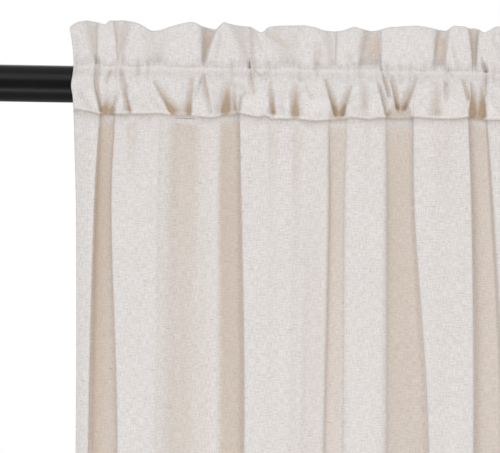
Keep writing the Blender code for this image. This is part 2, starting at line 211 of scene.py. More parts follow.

# Soft painted shades of the heading and pocket, each along a line from x1, z1 to x2, z2 and fading to
# each side
Cloud = namedtuple("Cloud", "x1 z1 x2 z2 left right shade")
CLOUDS = (
    Cloud(97.5, 30.0, 99.0, 14.0, 4.0, 4.5, 0.45),
    Cloud(116.0, 34.0, 119.0, 16.0, 7.0, 6.0, 0.45),
    Cloud(156.5, 30.0, 154.0, 17.0, 4.0, 6.0, 0.42),
    Cloud(162.5, 16.0, 167.5, 10.0, 3.0, 5.0, 0.3),
    Cloud(176.0, 33.0, 180.5, 24.0, 3.0, 5.0, 0.42),
    Cloud(184.0, 32.0, 196.0, 24.0, 4.0, 8.0, 0.62),
    Cloud(196.0, 22.0, 203.0, 14.0, 6.0, 6.0, 0.42),
    Cloud(183.0, 19.0, 187.0, 11.0, 3.5, 4.0, 0.3),
    Cloud(215.5, 26.0, 217.0, 12.0, 4.0, 4.5, 0.45),
    Cloud(233.0, 20.0, 237.5, 12.0, 6.0, 3.0, 0.45),
    Cloud(262.0, 13.0, 272.0, 11.0, 5.0, 5.0, 0.25),
    Cloud(294.5, 25.0, 297.5, 13.0, 3.0, 4.5, 0.5),
    Cloud(318.0, 34.0, 321.0, 24.0, 4.0, 6.0, 0.42),
    Cloud(343.0, 24.0, 346.0, 13.0, 6.0, 5.0, 0.35),
    Cloud(371.5, 33.0, 375.5, 22.0, 4.0, 6.0, 0.45),
    Cloud(394.0, 19.0, 399.0, 12.0, 5.0, 5.0, 0.35),
    Cloud(420.0, 32.0, 423.0, 17.0, 5.0, 7.0, 0.40),
    Cloud(446.0, 22.0, 452.0, 12.0, 5.0, 5.0, 0.35),
    Cloud(474.0, 30.0, 478.0, 14.0, 5.0, 6.0, 0.42),
    Cloud(517.0, 24.0, 521.0, 12.0, 5.0, 4.0, 0.38),
    Cloud(74.0, -6.0, 80.0, -13.0, 7.0, 7.0, 0.30),
    Cloud(71.0, 28.0, 74.0, 12.0, 6.0, 6.0, 0.24),
    Cloud(106.0, -9.0, 114.0, -11.0, 8.0, 8.0, 0.30),
    Cloud(115.0, -8.0, 121.0, -13.0, 5.0, 7.0, 0.30),
    Cloud(152.0, -10.0, 156.0, -13.0, 5.0, 5.0, 0.28),
    Cloud(164.0, 2.0, 172.0, -2.0, 5.0, 5.0, 0.34),
    Cloud(208.0, 0.0, 211.0, -6.0, 4.0, 4.0, 0.40),
    Cloud(234.0, -9.0, 239.0, -13.0, 4.0, 4.0, 0.34),
    Cloud(276.0, -8.0, 281.0, -12.0, 5.0, 5.0, 0.30),
    Cloud(318.0, -4.0, 322.0, -12.0, 5.0, 6.0, 0.32),
    Cloud(368.0, -8.0, 374.0, -12.0, 6.0, 6.0, 0.30),
    Cloud(418.0, -6.0, 424.0, -12.0, 5.0, 7.0, 0.30),
    Cloud(466.0, -9.0, 470.0, -13.0, 4.0, 5.0, 0.32),
    Cloud(518.0, -7.0, 522.0, -12.0, 5.0, 6.0, 0.30),
)

# Bands where the heading folds back. top, low: left and right edge at the top edge and at the
# stitch line. back_top, back_low: how far back its floor lies from the ridges there.
# lap_left, lap_right: how far the ridge on each side laps over it, or slopes where negative.
Band = namedtuple("Band", "top low back_top back_low lap_left lap_right")
BANDS = (
    Band((74.6, 83.0), (80.4, 83.6), 4.3, 1.6, -6.0, 0.3),
    Band((93.4, 103.8), (95.8, 99.4), 4.4, 1.6, 0.4, -5.4),
    Band((110.0, 125.6), (112.6, 124.0), 2.4, 1.2, -6.6, -6.4),
    Band((145.0, 154.2), (145.4, 147.8), 8.1, 3.2, -4.0, 2.4),
    Band((161.6, 176.4), (170.2, 177.0), 4.6, 1.4, -8.0, -4.2),
    Band((184.0, 206.0), (192.0, 201.0), 2.7, 1.1, -9.0, -8.0),
    Band((216.4, 226.2), (221.6, 225.6), 3.6, 1.6, -6.6, -1.5),
    Band((241.2, 250.8), (238.6, 252.2), 6.2, 2.1, -5.2, 2.2),
    Band((284.6, 291.4), (283.0, 290.2), 6.5, 2.2, -3.0, 2.0),
    Band((304.6, 310.4), (306.8, 308.9), 6.8, 2.9, 0.4, -1.4),
    Band((328.0, 338.8), (332.6, 336.5), 7.5, 2.8, -6.4, -1.0),
    Band((356.4, 364.5), (359.6, 362.4), 12.5, 3.8, -3.8, 2.2),
    Band((377.0, 393.0), (384.6, 388.4), 6.0, 2.4, -8.0, -5.0),
    Band((405.4, 412.8), (403.6, 411.0), 10.0, 2.8, -3.6, 1.6),
    Band((428.6, 440.6), (436.6, 439.6), 8.0, 3.0, -7.6, 0.5),
    Band((459.0, 467.6), (461.0, 463.6), 12.5, 3.8, 2.2, -4.0),
    Band((482.0, 496.0), (489.0, 492.8), 6.8, 2.6, -7.0, -4.4),
    Band((505.2, 513.6), (508.2, 511.0), 11.0, 3.6, -4.2, 2.2),
    Band((528.6, 537.0), (527.6, 530.8), 7.5, 2.8, 0.5, -5.0),
)
HEADING_FRONT = (-6.6, -6.4)
HEADING_CROWN = 0.9
HEADING_ENDS = ((67.1, 548.2), (70.2, 544.8))
HEADING_ROUNDINGS = (4.4, 1.7)

# Height of the heading's top edge, and of the seam under the pocket, along the rod
TOP_EDGE = (
    (67.1, 33.4), (68.8, 35.2), (73.0, 36.8), (77.1, 37.8), (80.7, 37.3), (84.9, 36.1),
    (88.8, 35.1), (89.4, 36.6), (90.5, 37.7), (99.1, 38.2), (103.9, 37.3), (108.7, 36.2),
    (112.3, 34.1), (115.3, 32.3), (117.7, 32.2), (120.6, 32.6), (126.6, 34.7), (132.5, 36.4),
    (139.0, 37.7), (140.8, 37.6), (147.4, 35.0), (152.7, 33.9), (153.9, 33.8), (155.7, 35.8),
    (158.0, 37.7), (159.2, 37.9), (165.2, 36.5), (174.1, 35.5), (177.8, 33.4), (180.7, 32.0),
    (182.5, 32.9), (185.4, 35.7), (192.0, 36.5), (206.3, 36.9), (212.8, 35.8), (218.8, 34.0),
    (224.8, 33.6), (229.5, 34.1), (233.1, 35.6), (236.6, 36.5), (240.2, 35.4), (244.4, 34.3),
    (246.8, 34.1), (250.3, 34.9), (257.4, 36.6), (266.4, 37.3), (272.3, 37.7), (278.3, 37.2),
    (286.6, 35.5), (291.4, 35.2), (292.5, 36.8), (294.9, 38.1), (302.6, 37.6), (304.4, 36.7),
    (307.4, 37.1), (309.8, 36.2), (313.1, 34.2), (315.8, 35.4), (319.9, 37.9), (322.9, 38.1),
    (326.5, 37.4), (331.0, 34.6), (335.5, 32.7), (340.5, 35.0), (347.0, 37.0), (354.0, 36.2),
    (360.0, 33.9), (363.8, 36.9), (367.5, 38.0), (375.0, 36.4), (382.0, 33.9), (388.0, 33.0),
    (394.5, 35.6), (401.0, 37.2), (407.0, 35.8), (410.5, 34.4), (413.2, 37.3), (417.5, 37.9),
    (425.5, 36.2), (433.0, 33.4), (438.5, 33.0), (442.5, 36.0), (449.5, 37.4), (456.5, 36.4),
    (461.8, 34.3), (466.8, 37.0), (471.5, 38.0), (480.5, 35.9), (487.0, 33.4), (491.0, 33.0),
    (497.5, 35.8), (503.5, 36.9), (509.5, 34.8), (514.5, 37.2), (518.5, 37.9), (525.5, 36.0),
    (531.0, 34.4), (536.0, 36.8), (541.5, 37.4), (546.0, 35.6), (548.2, 33.2),
)
SEAM_LINE = (
    (70.8, -14.4), (81.0, -16.1), (85.8, -17.2), (107.8, -16.8), (121.4, -16.3), (127.4, -17.1),
    (139.3, -17.2), (151.2, -18.2), (154.2, -18.1), (159.5, -16.5), (167.9, -15.5), (170.8, -15.8),
    (180.4, -17.7), (183.3, -16.2), (188.1, -18.5), (201.8, -18.2), (213.7, -19.2), (231.6, -17.7),
    (235.1, -16.5), (240.5, -17.3), (246.4, -17.8), (251.2, -16.5), (264.3, -16.9), (273.2, -15.9),
    (285.1, -16.8), (297.0, -16.6), (304.7, -15.3), (314.9, -16.9), (323.8, -16.8), (335.0, -17.6),
    (348.0, -16.7), (358.0, -18.0), (369.0, -16.6), (380.0, -17.4), (392.0, -16.5), (404.0, -18.2),
    (416.0, -16.8), (430.0, -17.5), (444.0, -16.6), (455.0, -18.1), (467.0, -16.9), (482.0, -17.4),
    (495.0, -16.5), (506.0, -18.0), (518.0, -16.8), (532.0, -17.0), (544.7, -15.0),
)

# Creases of the heading and the pocket, each along a line from x1, z1 to x2, z2.
# half_width: how wide it is. deep1, deep2: how deep it is at each end. steep: -1 where its left
# side is the steep one, 1 where its right side is, and 0 where both sides are alike.
Crease = namedtuple("Crease", "x1 z1 x2 z2 half_width deep1 deep2 steep")
CREASES = (
    Crease(82.9, 14.5, 83.1, -2.0, 1.0, 1.6, 2.2, -1),
    Crease(83.1, -2.0, 86.3, -15.6, 1.0, 2.2, 3.4, -1),
    Crease(92.6, 8.4, 89.6, 1.2, 0.9, 2.6, 0.8, 1),
    Crease(97.8, 8.5, 100.4, -1.8, 1.3, 1.2, 2.0, 0),
    Crease(100.4, -1.8, 104.2, -16.4, 1.1, 2.2, 3.6, 1),
    Crease(96.0, -5.5, 92.4, -16.6, 1.4, 0.8, 2.6, 0),
    Crease(89.7, -6.1, 89.0, -16.4, 2.6, 0.4, 2.4, 0),
    Crease(108.5, 12.0, 108.3, 3.0, 0.9, 1.2, 0.3, 0),
    Crease(114.0, 12.0, 113.6, 2.0, 0.9, 1.2, 0.3, 0),
    Crease(118.2, 1.8, 128.6, -16.0, 1.7, 1.2, 3.4, -1),
    Crease(140.4, 4.2, 139.3, -16.6, 1.3, 1.4, 3.6, 1),
    Crease(147.3, 6.4, 141.6, -8.2, 0.9, 2.0, 0.5, 0),
    Crease(147.3, 5.6, 151.8, -15.2, 1.2, 2.0, 1.8, 1),
    Crease(161.8, 2.0, 161.2, -14.0, 2.6, 1.2, 3.2, 1),
    Crease(165.4, 0.0, 166.6, -13.0, 1.0, 1.0, 2.0, 0),
    Crease(169.2, -5.8, 167.6, -15.0, 0.9, 1.2, 2.4, -1),
    Crease(169.2, -5.8, 176.9, -3.0, 1.2, 1.0, 0.5, 0),
    Crease(177.6, 9.6, 181.0, 6.4, 0.8, 1.8, 1.4, 0),
    Crease(181.0, 6.4, 185.2, 9.0, 0.8, 1.4, 0.6, 0),
    Crease(174.4, 12.0, 176.9, -3.0, 1.1, 2.2, 1.2, 1),
    Crease(186.4, 2.4, 188.8, -14.8, 1.2, 1.0, 3.2, 0),
    Crease(193.4, -4.0, 193.8, -14.0, 1.8, 0.2, 1.2, 0),
    Crease(201.4, 1.4, 202.0, -15.4, 2.2, 1.0, 3.2, 0),
    Crease(204.0, 16.6, 204.1, 4.7, 1.2, 0.4, 1.0, 0),
    Crease(213.9, 25.7, 214.1, 10.8, 1.5, 0.6, 1.4, 0),
    Crease(219.2, 4.4, 225.6, -15.0, 1.3, 1.8, 3.6, -1),
    Crease(234.4, 1.2, 230.0, -15.0, 1.4, 1.4, 3.6, 1),
    Crease(242.5, 3.0, 243.0, -10.5, 2.4, 0.8, 1.4, 0),
    Crease(250.7, 3.2, 256.0, -15.4, 1.1, 1.6, 3.2, -1),
    Crease(252.3, 11.0, 257.0, -4.0, 0.9, 1.8, 2.2, 0),
    Crease(257.8, 7.2, 262.0, -10.5, 1.2, 1.6, 3.6, -1),
    Crease(273.6, 7.4, 267.0, -10.5, 1.5, 1.0, 3.4, 1),
    Crease(284.8, 3.6, 285.5, -13.0, 2.8, 0.8, 1.4, 0),
    Crease(290.7, 3.8, 290.9, -6.2, 1.2, 2.2, 1.0, 0),
    Crease(291.0, 12.4, 294.0, 8.6, 0.8, 2.2, 1.2, 0),
    Crease(300.7, 6.0, 304.6, -5.0, 0.9, 1.8, 2.4, 0),
    Crease(306.0, 3.0, 306.6, -15.0, 1.6, 1.4, 3.4, -1),
    Crease(312.9, 2.0, 313.4, -15.0, 1.6, 1.4, 3.4, 1),
    Crease(312.3, 19.5, 315.0, 11.3, 0.9, 1.6, 3.4, 1),
    Crease(315.0, 11.3, 314.0, -3.0, 0.9, 2.8, 1.8, 1),
    Crease(330.0, 9.0, 333.5, -8.0, 1.2, 2.0, 1.2, 0),
    Crease(341.0, 4.0, 340.0, -13.0, 2.0, 0.8, 2.0, 0),
    Crease(349.4, 4.6, 354.6, -15.0, 1.3, 1.6, 3.4, -1),
    Crease(366.6, 5.0, 361.6, -15.0, 1.3, 1.4, 3.4, 1),
    Crease(361.2, 11.4, 359.0, -4.0, 1.0, 2.4, 1.4, 0),
    Crease(376.6, 10.0, 378.4, -6.0, 1.4, 1.4, 1.6, 1),
    Crease(386.8, 8.0, 384.0, -12.0, 1.2, 1.2, 2.4, 0),
    Crease(394.0, 4.4, 399.8, -15.0, 1.3, 1.6, 3.4, -1),
    Crease(414.4, 2.8, 409.0, -15.0, 1.4, 1.2, 3.4, 1),
    Crease(407.4, 10.4, 404.6, -6.0, 0.9, 2.2, 1.8, 0),
    Crease(422.0, 8.0, 424.4, -9.0, 1.6, 1.4, 1.2, 0),
    Crease(438.2, 11.0, 434.6, -8.0, 1.1, 2.0, 2.2, 1),
    Crease(446.0, 4.0, 450.8, -15.0, 1.2, 1.4, 3.4, -1),
    Crease(462.0, 4.8, 457.8, -15.0, 1.3, 1.4, 3.4, 1),
    Crease(474.4, 6.0, 476.2, -13.0, 1.8, 1.0, 2.2, 0),
    Crease(490.8, 10.6, 487.4, -6.0, 1.0, 2.0, 1.4, 0),
    Crease(496.8, 4.0, 502.0, -15.0, 1.3, 1.4, 3.4, -1),
    Crease(515.4, 3.4, 510.4, -15.0, 1.4, 1.4, 3.4, 1),
    Crease(529.2, 10.6, 526.2, -9.0, 1.2, 2.2, 1.8, 0),
)
# The share of its depth that a crease raises along its sides
CREASE_RIB = 0.3

# Painted shade and painted light of the heading and pocket, from -1 where painted light makes
# the cloth palest, through 0 on a ridge and 1 in a fold, to 2 in a tight crease. PALE and LIP
# are painted light along the stitch line and the seam's lip, HEADING and POCKET below 0 are
# painted light that makes those parts paler, BACK is the painted shade of the back layers and
# PUCKER the painted shade in the puckers' hollows
CREASE_SHADE = 0.76
CREASE_CORE = 0.34
PALE_SHADE = -1.15
PALE_HEIGHT = 11.6
PALE_REACH = 2.9
HEADING_SHADE = -0.25
POCKET_SHADE = -0.26
POCKET_LOW_SHADE = -0.5
LIP_SHADE = -1.2
BACK_SHADE = 0.5
PUCKER_SHADE = 0.7

# How far the cloth stands out or presses in near the seam and the rod
SEAM_LIP = 0.5
SEAM_GROOVE = 0.2
MOUTH_BULGE = 1.2
STITCH_LINE_BEND = 13
POCKET_SWELL = 4.8
POCKET_RADIUS = 12.4
POCKET_BACK_SWELL = 3.4
CLOSEST_RADIUS = 11.55
CLOSEST_HEM_RADIUS = 12.3

# Small puckers along the stitch line: a wave length, a phase and a height for each wave
PUCKERS = ((3.3, 0.4, 0.34), (4.6, 2.1, 0.40), (7.1, 4.4, 0.46), (11.3, 1.3, 0.34))
PUCKER_REACH = 8.5

# The flat cloth with its turnings, its relief and the share of light that comes through it
WEAVE_RELIEF = 0.00012
LIGHT_THROUGH = 0.06

# Rod
ROD_SIDES = 96
ROD_BEVEL_STEPS = 4
PAINT_RELIEF = 0.00008

# Stitches
STITCH_LENGTH = 2.3
STITCH_PITCH = 3.0
STITCH_THICK = 0.28

# Camera and stage
VIEW_CENTRE = (0.1761, -0.0829)
VIEW_WIDTH = 0.2975
VIEW_DISTANCE = 3.0
VIEW_ROLL = math.radians(0.95)
SENSOR_WIDTH = 36.0
WHITE = (1.0, 1.0, 1.0, 1.0)
SURROUND_STRENGTH = 0.38
SOFTBOX_AIM = (0.25, 0.0, -0.10)
SOFTBOXES = (
    ("key softbox", (0.10, -2.0, 1.85), (2.4, 1.6), 31.8),
    ("overhead softbox", (0.20, 0.10, 2.4), (3.0, 2.6), 14.0),
    ("low strip", (0.18, -1.60, -1.58), (2.6, 0.60), 22.0),
    ("back softbox", (0.30, 2.4, 1.3), (2.4, 1.6), 14.0),
)
FLOOR_HEIGHT = -1.80
FLOOR_SIZE = 6.0


class CurtainSizes(bpy.types.PropertyGroup):
    """Sizes that a maker may change without recutting the cloth."""

    weave_pitch: bpy.props.FloatProperty(
        name="Weave pitch", description="Distance from one thread of the weave to the next",
        default=0.00060, min=0.0002, unit="LENGTH")
    slub_length: bpy.props.FloatProperty(
        name="Slub length", description="Usual length of a thick place in a yarn",
        default=0.0046, min=0.001, unit="LENGTH")
    stitch_length: bpy.props.FloatProperty(
        name="Stitch length", description="Length of one visible stitch",
        default=STITCH_LENGTH * MM, min=0.0005, unit="LENGTH")
    stitch_pitch: bpy.props.FloatProperty(
        name="Stitch pitch", description="Distance from one stitch to the next",
        default=STITCH_PITCH * MM, min=0.001, unit="LENGTH")
    thread_thickness: bpy.props.FloatProperty(
        name="Thread thickness", description="Diameter of the sewing thread",
        default=STITCH_THICK * MM, min=0.0001, unit="LENGTH")
    rod_bevel: bpy.props.FloatProperty(
        name="Rod edge", description="Rounding of the rod's end edges",
        default=0.0006, min=0.0001, unit="LENGTH")


class CurtainColours(bpy.types.PropertyGroup):
    """Colours of the cloth, its slubs, the thread and the rod."""

    cloth: bpy.props.FloatVectorProperty(
        name="Cloth", description="Colour of the cloth's yarn", subtype="COLOR", size=4,
        default=(0.795, 0.765, 0.752, 1.0), min=0.0, max=1.0)
    # Painted shade: the warmer, darker colour that the fold attribute mixes in deep in the folds
    fold: bpy.props.FloatVectorProperty(
        name="Cloth in the folds", description="Warmer colour that the cloth has deep in its folds",
        subtype="COLOR", size=4, default=(0.690, 0.611, 0.551, 1.0), min=0.0, max=1.0)
    # Painted light: the paler colour that the fold attribute mixes in along the stitch line, the seam's
    # lip and the paler parts of the heading and pocket
    painted_pale_light: bpy.props.FloatVectorProperty(
        name="Doubled cloth", description="Paler colour of the cloth where more layers lie behind",
        subtype="COLOR", size=4, default=(0.92, 0.885, 0.87, 1.0), min=0.0, max=1.0)
    # Painted shade: the darkest colour that the fold attribute mixes in at tight creases
    painted_crease_shade: bpy.props.FloatVectorProperty(
        name="Cloth in the creases", description="Colour of the cloth deep in its tight creases",
        subtype="COLOR", size=4, default=(0.53, 0.405, 0.29, 1.0), min=0.0, max=1.0)
    cloth_glow: bpy.props.FloatVectorProperty(
        name="Cloth against the light", description="Colour of light that comes through the cloth",
        subtype="COLOR", size=4, default=(0.80, 0.70, 0.58, 1.0), min=0.0, max=1.0)
    slub: bpy.props.FloatVectorProperty(
        name="Slub", description="Colour of the darker flax in the yarn", subtype="COLOR", size=4,
        default=(0.36, 0.29, 0.22, 1.0), min=0.0, max=1.0)
    thread: bpy.props.FloatVectorProperty(
        name="Thread", description="Colour of the sewing thread", subtype="COLOR", size=4,
        default=(0.84, 0.79, 0.72, 1.0), min=0.0, max=1.0)
    rod: bpy.props.FloatVectorProperty(
        name="Rod paint", description="Colour of the rod's satin paint", subtype="COLOR", size=4,
        default=(0.006, 0.0055, 0.006, 1.0), min=0.0, max=1.0)
    floor: bpy.props.FloatVectorProperty(
        name="Floor", description="Colour of the studio floor", subtype="COLOR", size=4,
        default=(0.86, 0.86, 0.85, 1.0), min=0.0, max=1.0)


def ease(value):
    """Ease a share from 0 to 1, flat at both ends."""
    value = np.clip(value, 0.0, 1.0)
    return value * value * (3.0 - 2.0 * value)


def dense_line(corners, roundings):
    """Return a finely divided line through rounded corners, with a fixed number of points."""
    corners = np.asarray(corners, dtype=float)
    entries = []
    exits = []
    for before, corner, after, rounding in zip(corners, corners[1:], corners[2:], roundings):
        for end, legs in ((before, entries), (after, exits)):
            length = np.linalg.norm(end - corner)
            reach = min(rounding, 0.45 * length) / length
            legs.append(corner + (end - corner) * reach)
    points = [corners[0]]
    last = corners[0]
    t = np.linspace(0.0, 1.0, BEND_POINTS)[:, None]
    for corner, entry, leave in zip(corners[1:-1], entries, exits):
        points.extend(np.linspace(last, entry, STRAIGHT_POINTS + 2)[1:-1])
        points.extend((1 - t) ** 2 * entry + 2 * t * (1 - t) * corner + t ** 2 * leave)
        last = leave
    points.extend(np.linspace(last, corners[-1], STRAIGHT_POINTS + 2)[1:])
    return np.array(points)


def body_roundings(level):
    """Return how far each inner corner of the body's plan is rounded at one level."""
    rounding = LEVEL_ROUNDINGS[level]
    softness = [[SOFT_EDGE if soft >= 3.0 else SHARP_EDGE for soft in (s.soft_left, s.soft_right)]
                for s in VALLEY_SHADES]
    roundings = []
    for index in range(len(RIDGES)):
        if index:
            roundings.append(rounding * softness[index - 1][1])
        roundings.append(rounding)
        if index < len(VALLEYS):
            left, right = softness[index]
            roundings.extend((rounding * left, rounding * left, rounding * right))
    return roundings


def body_corners(level):
    """Return the corners of the body's plan at one level."""
    depth = LEVEL_DEPTHS[level]
    lap = LEVEL_LAPS[level]
    edges = [valley[level] for valley in VALLEYS]
    starts = [LEFT_EDGE[level]] + [edge[1] for edge in edges]
    ends = [edge[0] for edge in edges] + [RIGHT_EDGE[level]]
    corners = []
    for index, ridge in enumerate(RIDGES):
        start = starts[index]
        end = ends[index]
        corners.append((start, -ridge.start * depth))
        corners.append((start + (end - start) * ridge.at, -ridge.crown * depth))
        corners.append((end, -ridge.end * depth))
        if index < len(VALLEYS):
            valley = VALLEYS[index]
            front = -ridge.end * depth
            for x, back in ((end - valley.lap_left * lap, valley.back_left),
                            (edges[index][1] + valley.lap_right * lap, valley.back_right)):
                corners.append((x, front + (back * depth - front) * valley.kept[level]))
    return corners


def heading_corners(level):
    """Return the corners of the heading's plan at its top edge, 0, or its stitch line, 1."""
    front = HEADING_FRONT[level]
    left, right = HEADING_ENDS[level]
    edges = [(band.top, band.low)[level] for band in BANDS]
    starts = [left] + [edge[1] for edge in edges]
    ends = [edge[0] for edge in edges] + [right]
    corners = []
    for index, (start, end) in enumerate(zip(starts, ends)):
        crown = HEADING_CROWN * (1.0 - 0.6 * level)
        corners.append((start, front + 0.3))
        corners.append((0.5 * (start + end), front - crown))
        corners.append((end, front + 0.3))
        if index < len(BANDS):
            band = BANDS[index]
            width = edges[index][1] - end
            back = front + (band.back_top, band.back_low)[level]
            squeeze = (1.0, 0.5)[level]
            floor_left = end - max(band.lap_left * squeeze, -0.8 * width)
            floor_right = edges[index][1] + max(band.lap_right * squeeze, -0.8 * width)
            if floor_right - floor_left < 0.2 * width:
                middle = 0.5 * (floor_left + floor_right)
                floor_left = middle - 0.1 * width
                floor_right = middle + 0.1 * width
            corners.append((floor_left, back))
            corners.append((floor_right, back))
    return corners


def column_shares():
    """Return each column's place across the flat cloth, from 0 to 1."""
    fine = np.linspace(0.0, FINE_SHARE, FINE_COLUMNS, endpoint=False)
    return np.concatenate((fine, np.linspace(FINE_SHARE, 1.0, COARSE_COLUMNS)))


def sample_plans(plans, shares):
    """Sample lines with matching points at shares of their mean length."""
    steps = np.mean([np.linalg.norm(np.diff(plan, axis=0), axis=1) for plan in plans], axis=0)
    lengths = np.concatenate(((0.0,), np.cumsum(steps)))
    places = np.interp(shares * lengths[-1], lengths, np.arange(len(lengths)))
    index = np.arange(len(lengths))
    return [np.stack([np.interp(places, index, plan[:, axis]) for axis in (0, 1)], axis=1)
            for plan in plans]


def between_levels(height, plans):
    """Return the body's plan at any height, on a smooth curve through the four levels."""
    last = len(LEVELS) - 1
    span = 0
    while span < last - 1 and height < LEVELS[span + 1]:
        span += 1
    run = LEVELS[span + 1] - LEVELS[span]
    t = (height - LEVELS[span]) / run
    slopes = []
    for knot in (span, span + 1):
        low = max(0, knot - 1)
        high = min(last, knot + 1)
        slopes.append((plans[high] - plans[low]) / (LEVELS[high] - LEVELS[low]))
    value = (2 * t ** 3 - 3 * t ** 2 + 1) * plans[span] + (t ** 3 - 2 * t ** 2 + t) * run * slopes[0]
    return value + (3 * t ** 2 - 2 * t ** 3) * plans[span + 1] + (t ** 3 - t ** 2) * run * slopes[1]


def table_line(table, x):
    """Return a table's second column at places along the rod, a little smoothed."""
    places, values = np.array(table).T
    return sum(np.interp(x + shift, places, values) for shift in (-0.7, 0.0, 0.7)) / 3.0


def uneven(x, z):
    """Return a small unevenness, in mm, that never repeats in the same way."""
    return (0.30 * np.sin(x / 3.1 + 0.6 * np.sin(z / 4.7)) * np.sin(z / 5.3 + x / 17.0)
            + 0.26 * np.sin(x / 5.9 - z / 7.7 + 1.3) + 0.18 * np.sin(x / 2.3 + z / 3.9 + 0.4))


def along_line(line, x, z):
    """Return how far along a line each place lies, from 0 to 1, and how far to its side."""
    run_x = line.x2 - line.x1
    run_z = line.z2 - line.z1
    length2 = run_x ** 2 + run_z ** 2
    t = np.clip(((x - line.x1) * run_x + (z - line.z1) * run_z) / length2, 0.0, 1.0)
    return t, x - line.x1 - t * run_x, z - line.z1 - t * run_z


def crease_depth(x, z):
    """Return how deep the creases press in on the heading and pocket, and their painted shade."""
    deep = np.zeros_like(x)
    rib = np.zeros_like(x)
    core = np.zeros_like(x)
    for c in CREASES:
        t, side_x, side_z = along_line(c, x, z)
        away = np.hypot(side_x, side_z) / (c.half_width * (0.75 + 0.5 * t))
        if c.steep:
            away = away / (1.0 - 0.5 * c.steep * np.tanh(side_x / (0.5 * c.half_width)))
        depth = c.deep1 + (c.deep2 - c.deep1) * t
        deep = np.maximum(deep, depth * np.exp(-away ** 2))
        rib = np.maximum(rib, depth * np.exp(-(away - 2.1) ** 2 / 0.8))
        core = np.maximum(core, depth * np.exp(-(away / 0.45) ** 2))
    depth = deep - CREASE_RIB * np.maximum(rib - deep, 0.0)
    return depth, (CREASE_SHADE * deep + CREASE_CORE * core) / (1.0 + 0.18 * deep)


def zone_shade(x, left, right, shades, softs):
    """Return a painted shade between two edges, changing from one to the other and fading at both."""
    across = np.clip((x - left) / (right - left), 0.0, 1.0)
    shade = shades[0] + (shades[1] - shades[0]) * across
    inside = ease((x - left) / softs[0] + 0.5) * (1.0 - ease((x - right) / softs[1] + 0.5))
    return shade * inside


def hollow_part(hollow, x, height, at_seam, below):
    """Return a hollow's depth or painted shade at places along the rod, at one height."""
    share = ease((height - hollow.by) / (SEAM_HEIGHT - hollow.by))
    inside = (ease((x - hollow.left) / hollow.left_run)
              * (1.0 - ease((x - hollow.right) / hollow.right_run)))
    return (below + (at_seam - below) * share) * inside


def body_shade(x, y, height, front):
    """Return the painted shade of the body at one height, seen from the front."""
    edges = between_levels(height, [np.array([v[level] for v in VALLEYS]) for level in range(4)])
    tones = between_levels(height, [np.array([s[level] for s in VALLEY_SHADES]) for level in range(4)])
    below = ease((-60.0 - height) / 130.0)
    shade = 0.0
    inside = 0.0
    for (left, right), pair, s in zip(edges, tones, VALLEY_SHADES):
        softs = (s.soft_left + s.soft_below * below, s.soft_right + s.soft_below * below)
        shade = np.maximum(shade, zone_shade(x, left, right, pair, softs))
        inside = np.maximum(inside, zone_shade(x, left, right, (1.0, 1.0), (1.0, 1.0)))
    for h in HOLLOWS:
        shade = shade + hollow_part(h, x, height, h.tone, h.tone_below) * front
    # Painted shade of 0.8 where the cloth lies back behind the ridges, outside the valleys
    hidden = ease((y - 1.0) / 5.0) * (1.0 - inside)
    return shade + (0.8 - shade) * hidden


def cloud_shade(x, z):
    """Return the soft painted shades that lie over the heading and the pocket."""
    shade = -1.0
    for c in CLOUDS:
        side_x, side_z = along_line(c, x, z)[1:]
        away = np.hypot(side_x, 0.6 * side_z) / np.where(side_x < 0.0, c.left, c.right)
        shade = np.maximum(shade, -1.0 + (1.0 + 1.35 * c.shade) * (1.0 - ease(away)))
    return shade


def stitch_line_pale(z):
    """Return the painted light that makes the strip along the stitch line paler, where the layers meet.
    """
    return PALE_SHADE * np.exp(-((z - PALE_HEIGHT) / PALE_REACH) ** 2)


def heading_shade(x, z, share):
    """Return the painted shade and painted light of one row of the heading, seen from the front."""
    run = 1.0 - (1.0 - share) ** 1.7
    shade = 0.0
    for band in BANDS:
        left, right = ((1.0 - run) * a + run * b for a, b in zip(band.top, band.low))
        softs = []
        tones = []
        for lap in (band.lap_left, band.lap_right):
            softs.append(0.9 if lap > 0.0 else min(-0.8 * lap, 0.8 * (right - left)))
            tones.append(1.0 if lap > 0.0 else 0.6)
        strength = min(1.4, band.back_top / 5.0) * (0.54 + 0.64 * math.sin(math.pi * share ** 0.8))
        pair = [tone * strength for tone in tones]
        shade = np.maximum(shade, zone_shade(x, left, right, pair, softs))
    shade = np.maximum(shade, cloud_shade(x, z)) + HEADING_SHADE
    # Painted shade in the hollows of the puckers, and painted light along the stitch line
    puckers = pucker_height(x, 9.5 - z) * (1.0 - ease((z - 12.0) / 6.0))
    pale = stitch_line_pale(z) * (1.0 - 0.4 * ease(shade))
    return shade + crease_depth(x, z)[1] + PUCKER_SHADE * np.maximum(-puckers, 0.0) + pale


def pocket_shade(x, z):
    """Return the painted shade and painted light of one row of the pocket, seen from the front."""
    seam_height = table_line(SEAM_LINE, x)
    shade = cloud_shade(x, z)
    for base in BASES:
        down = np.clip((base.top - z) / (base.top - seam_height), 0.0, 1.0)
        left = base.top_left + (base.left - base.top_left) * down
        right = base.top_right + (base.right - base.top_right) * down
        tone = base.shade * ease(down * 1.1)
        shade = np.maximum(shade, tone * zone_shade(x, left, right, (1.0, 1.0), (2.4, 2.4)))
    # Painted light: the pocket is made paler, most of all low down where it faces the floor
    paler = POCKET_SHADE + POCKET_LOW_SHADE * ease((-3.0 - z) / 8.0)
    shade = shade + paler * (1.0 - 0.7 * ease(shade))
    puckers = pucker_height(x, 9.5 - z)
    # Painted highlight along the lip just above the seam
    lip = np.exp(-((z - seam_height - 0.7) / 0.5) ** 2)
    pale = stitch_line_pale(z) + LIP_SHADE * lip * (1.0 - 0.6 * ease(shade))
    return shade + crease_depth(x, z)[1] + PUCKER_SHADE * np.maximum(-puckers, 0.0) + pale


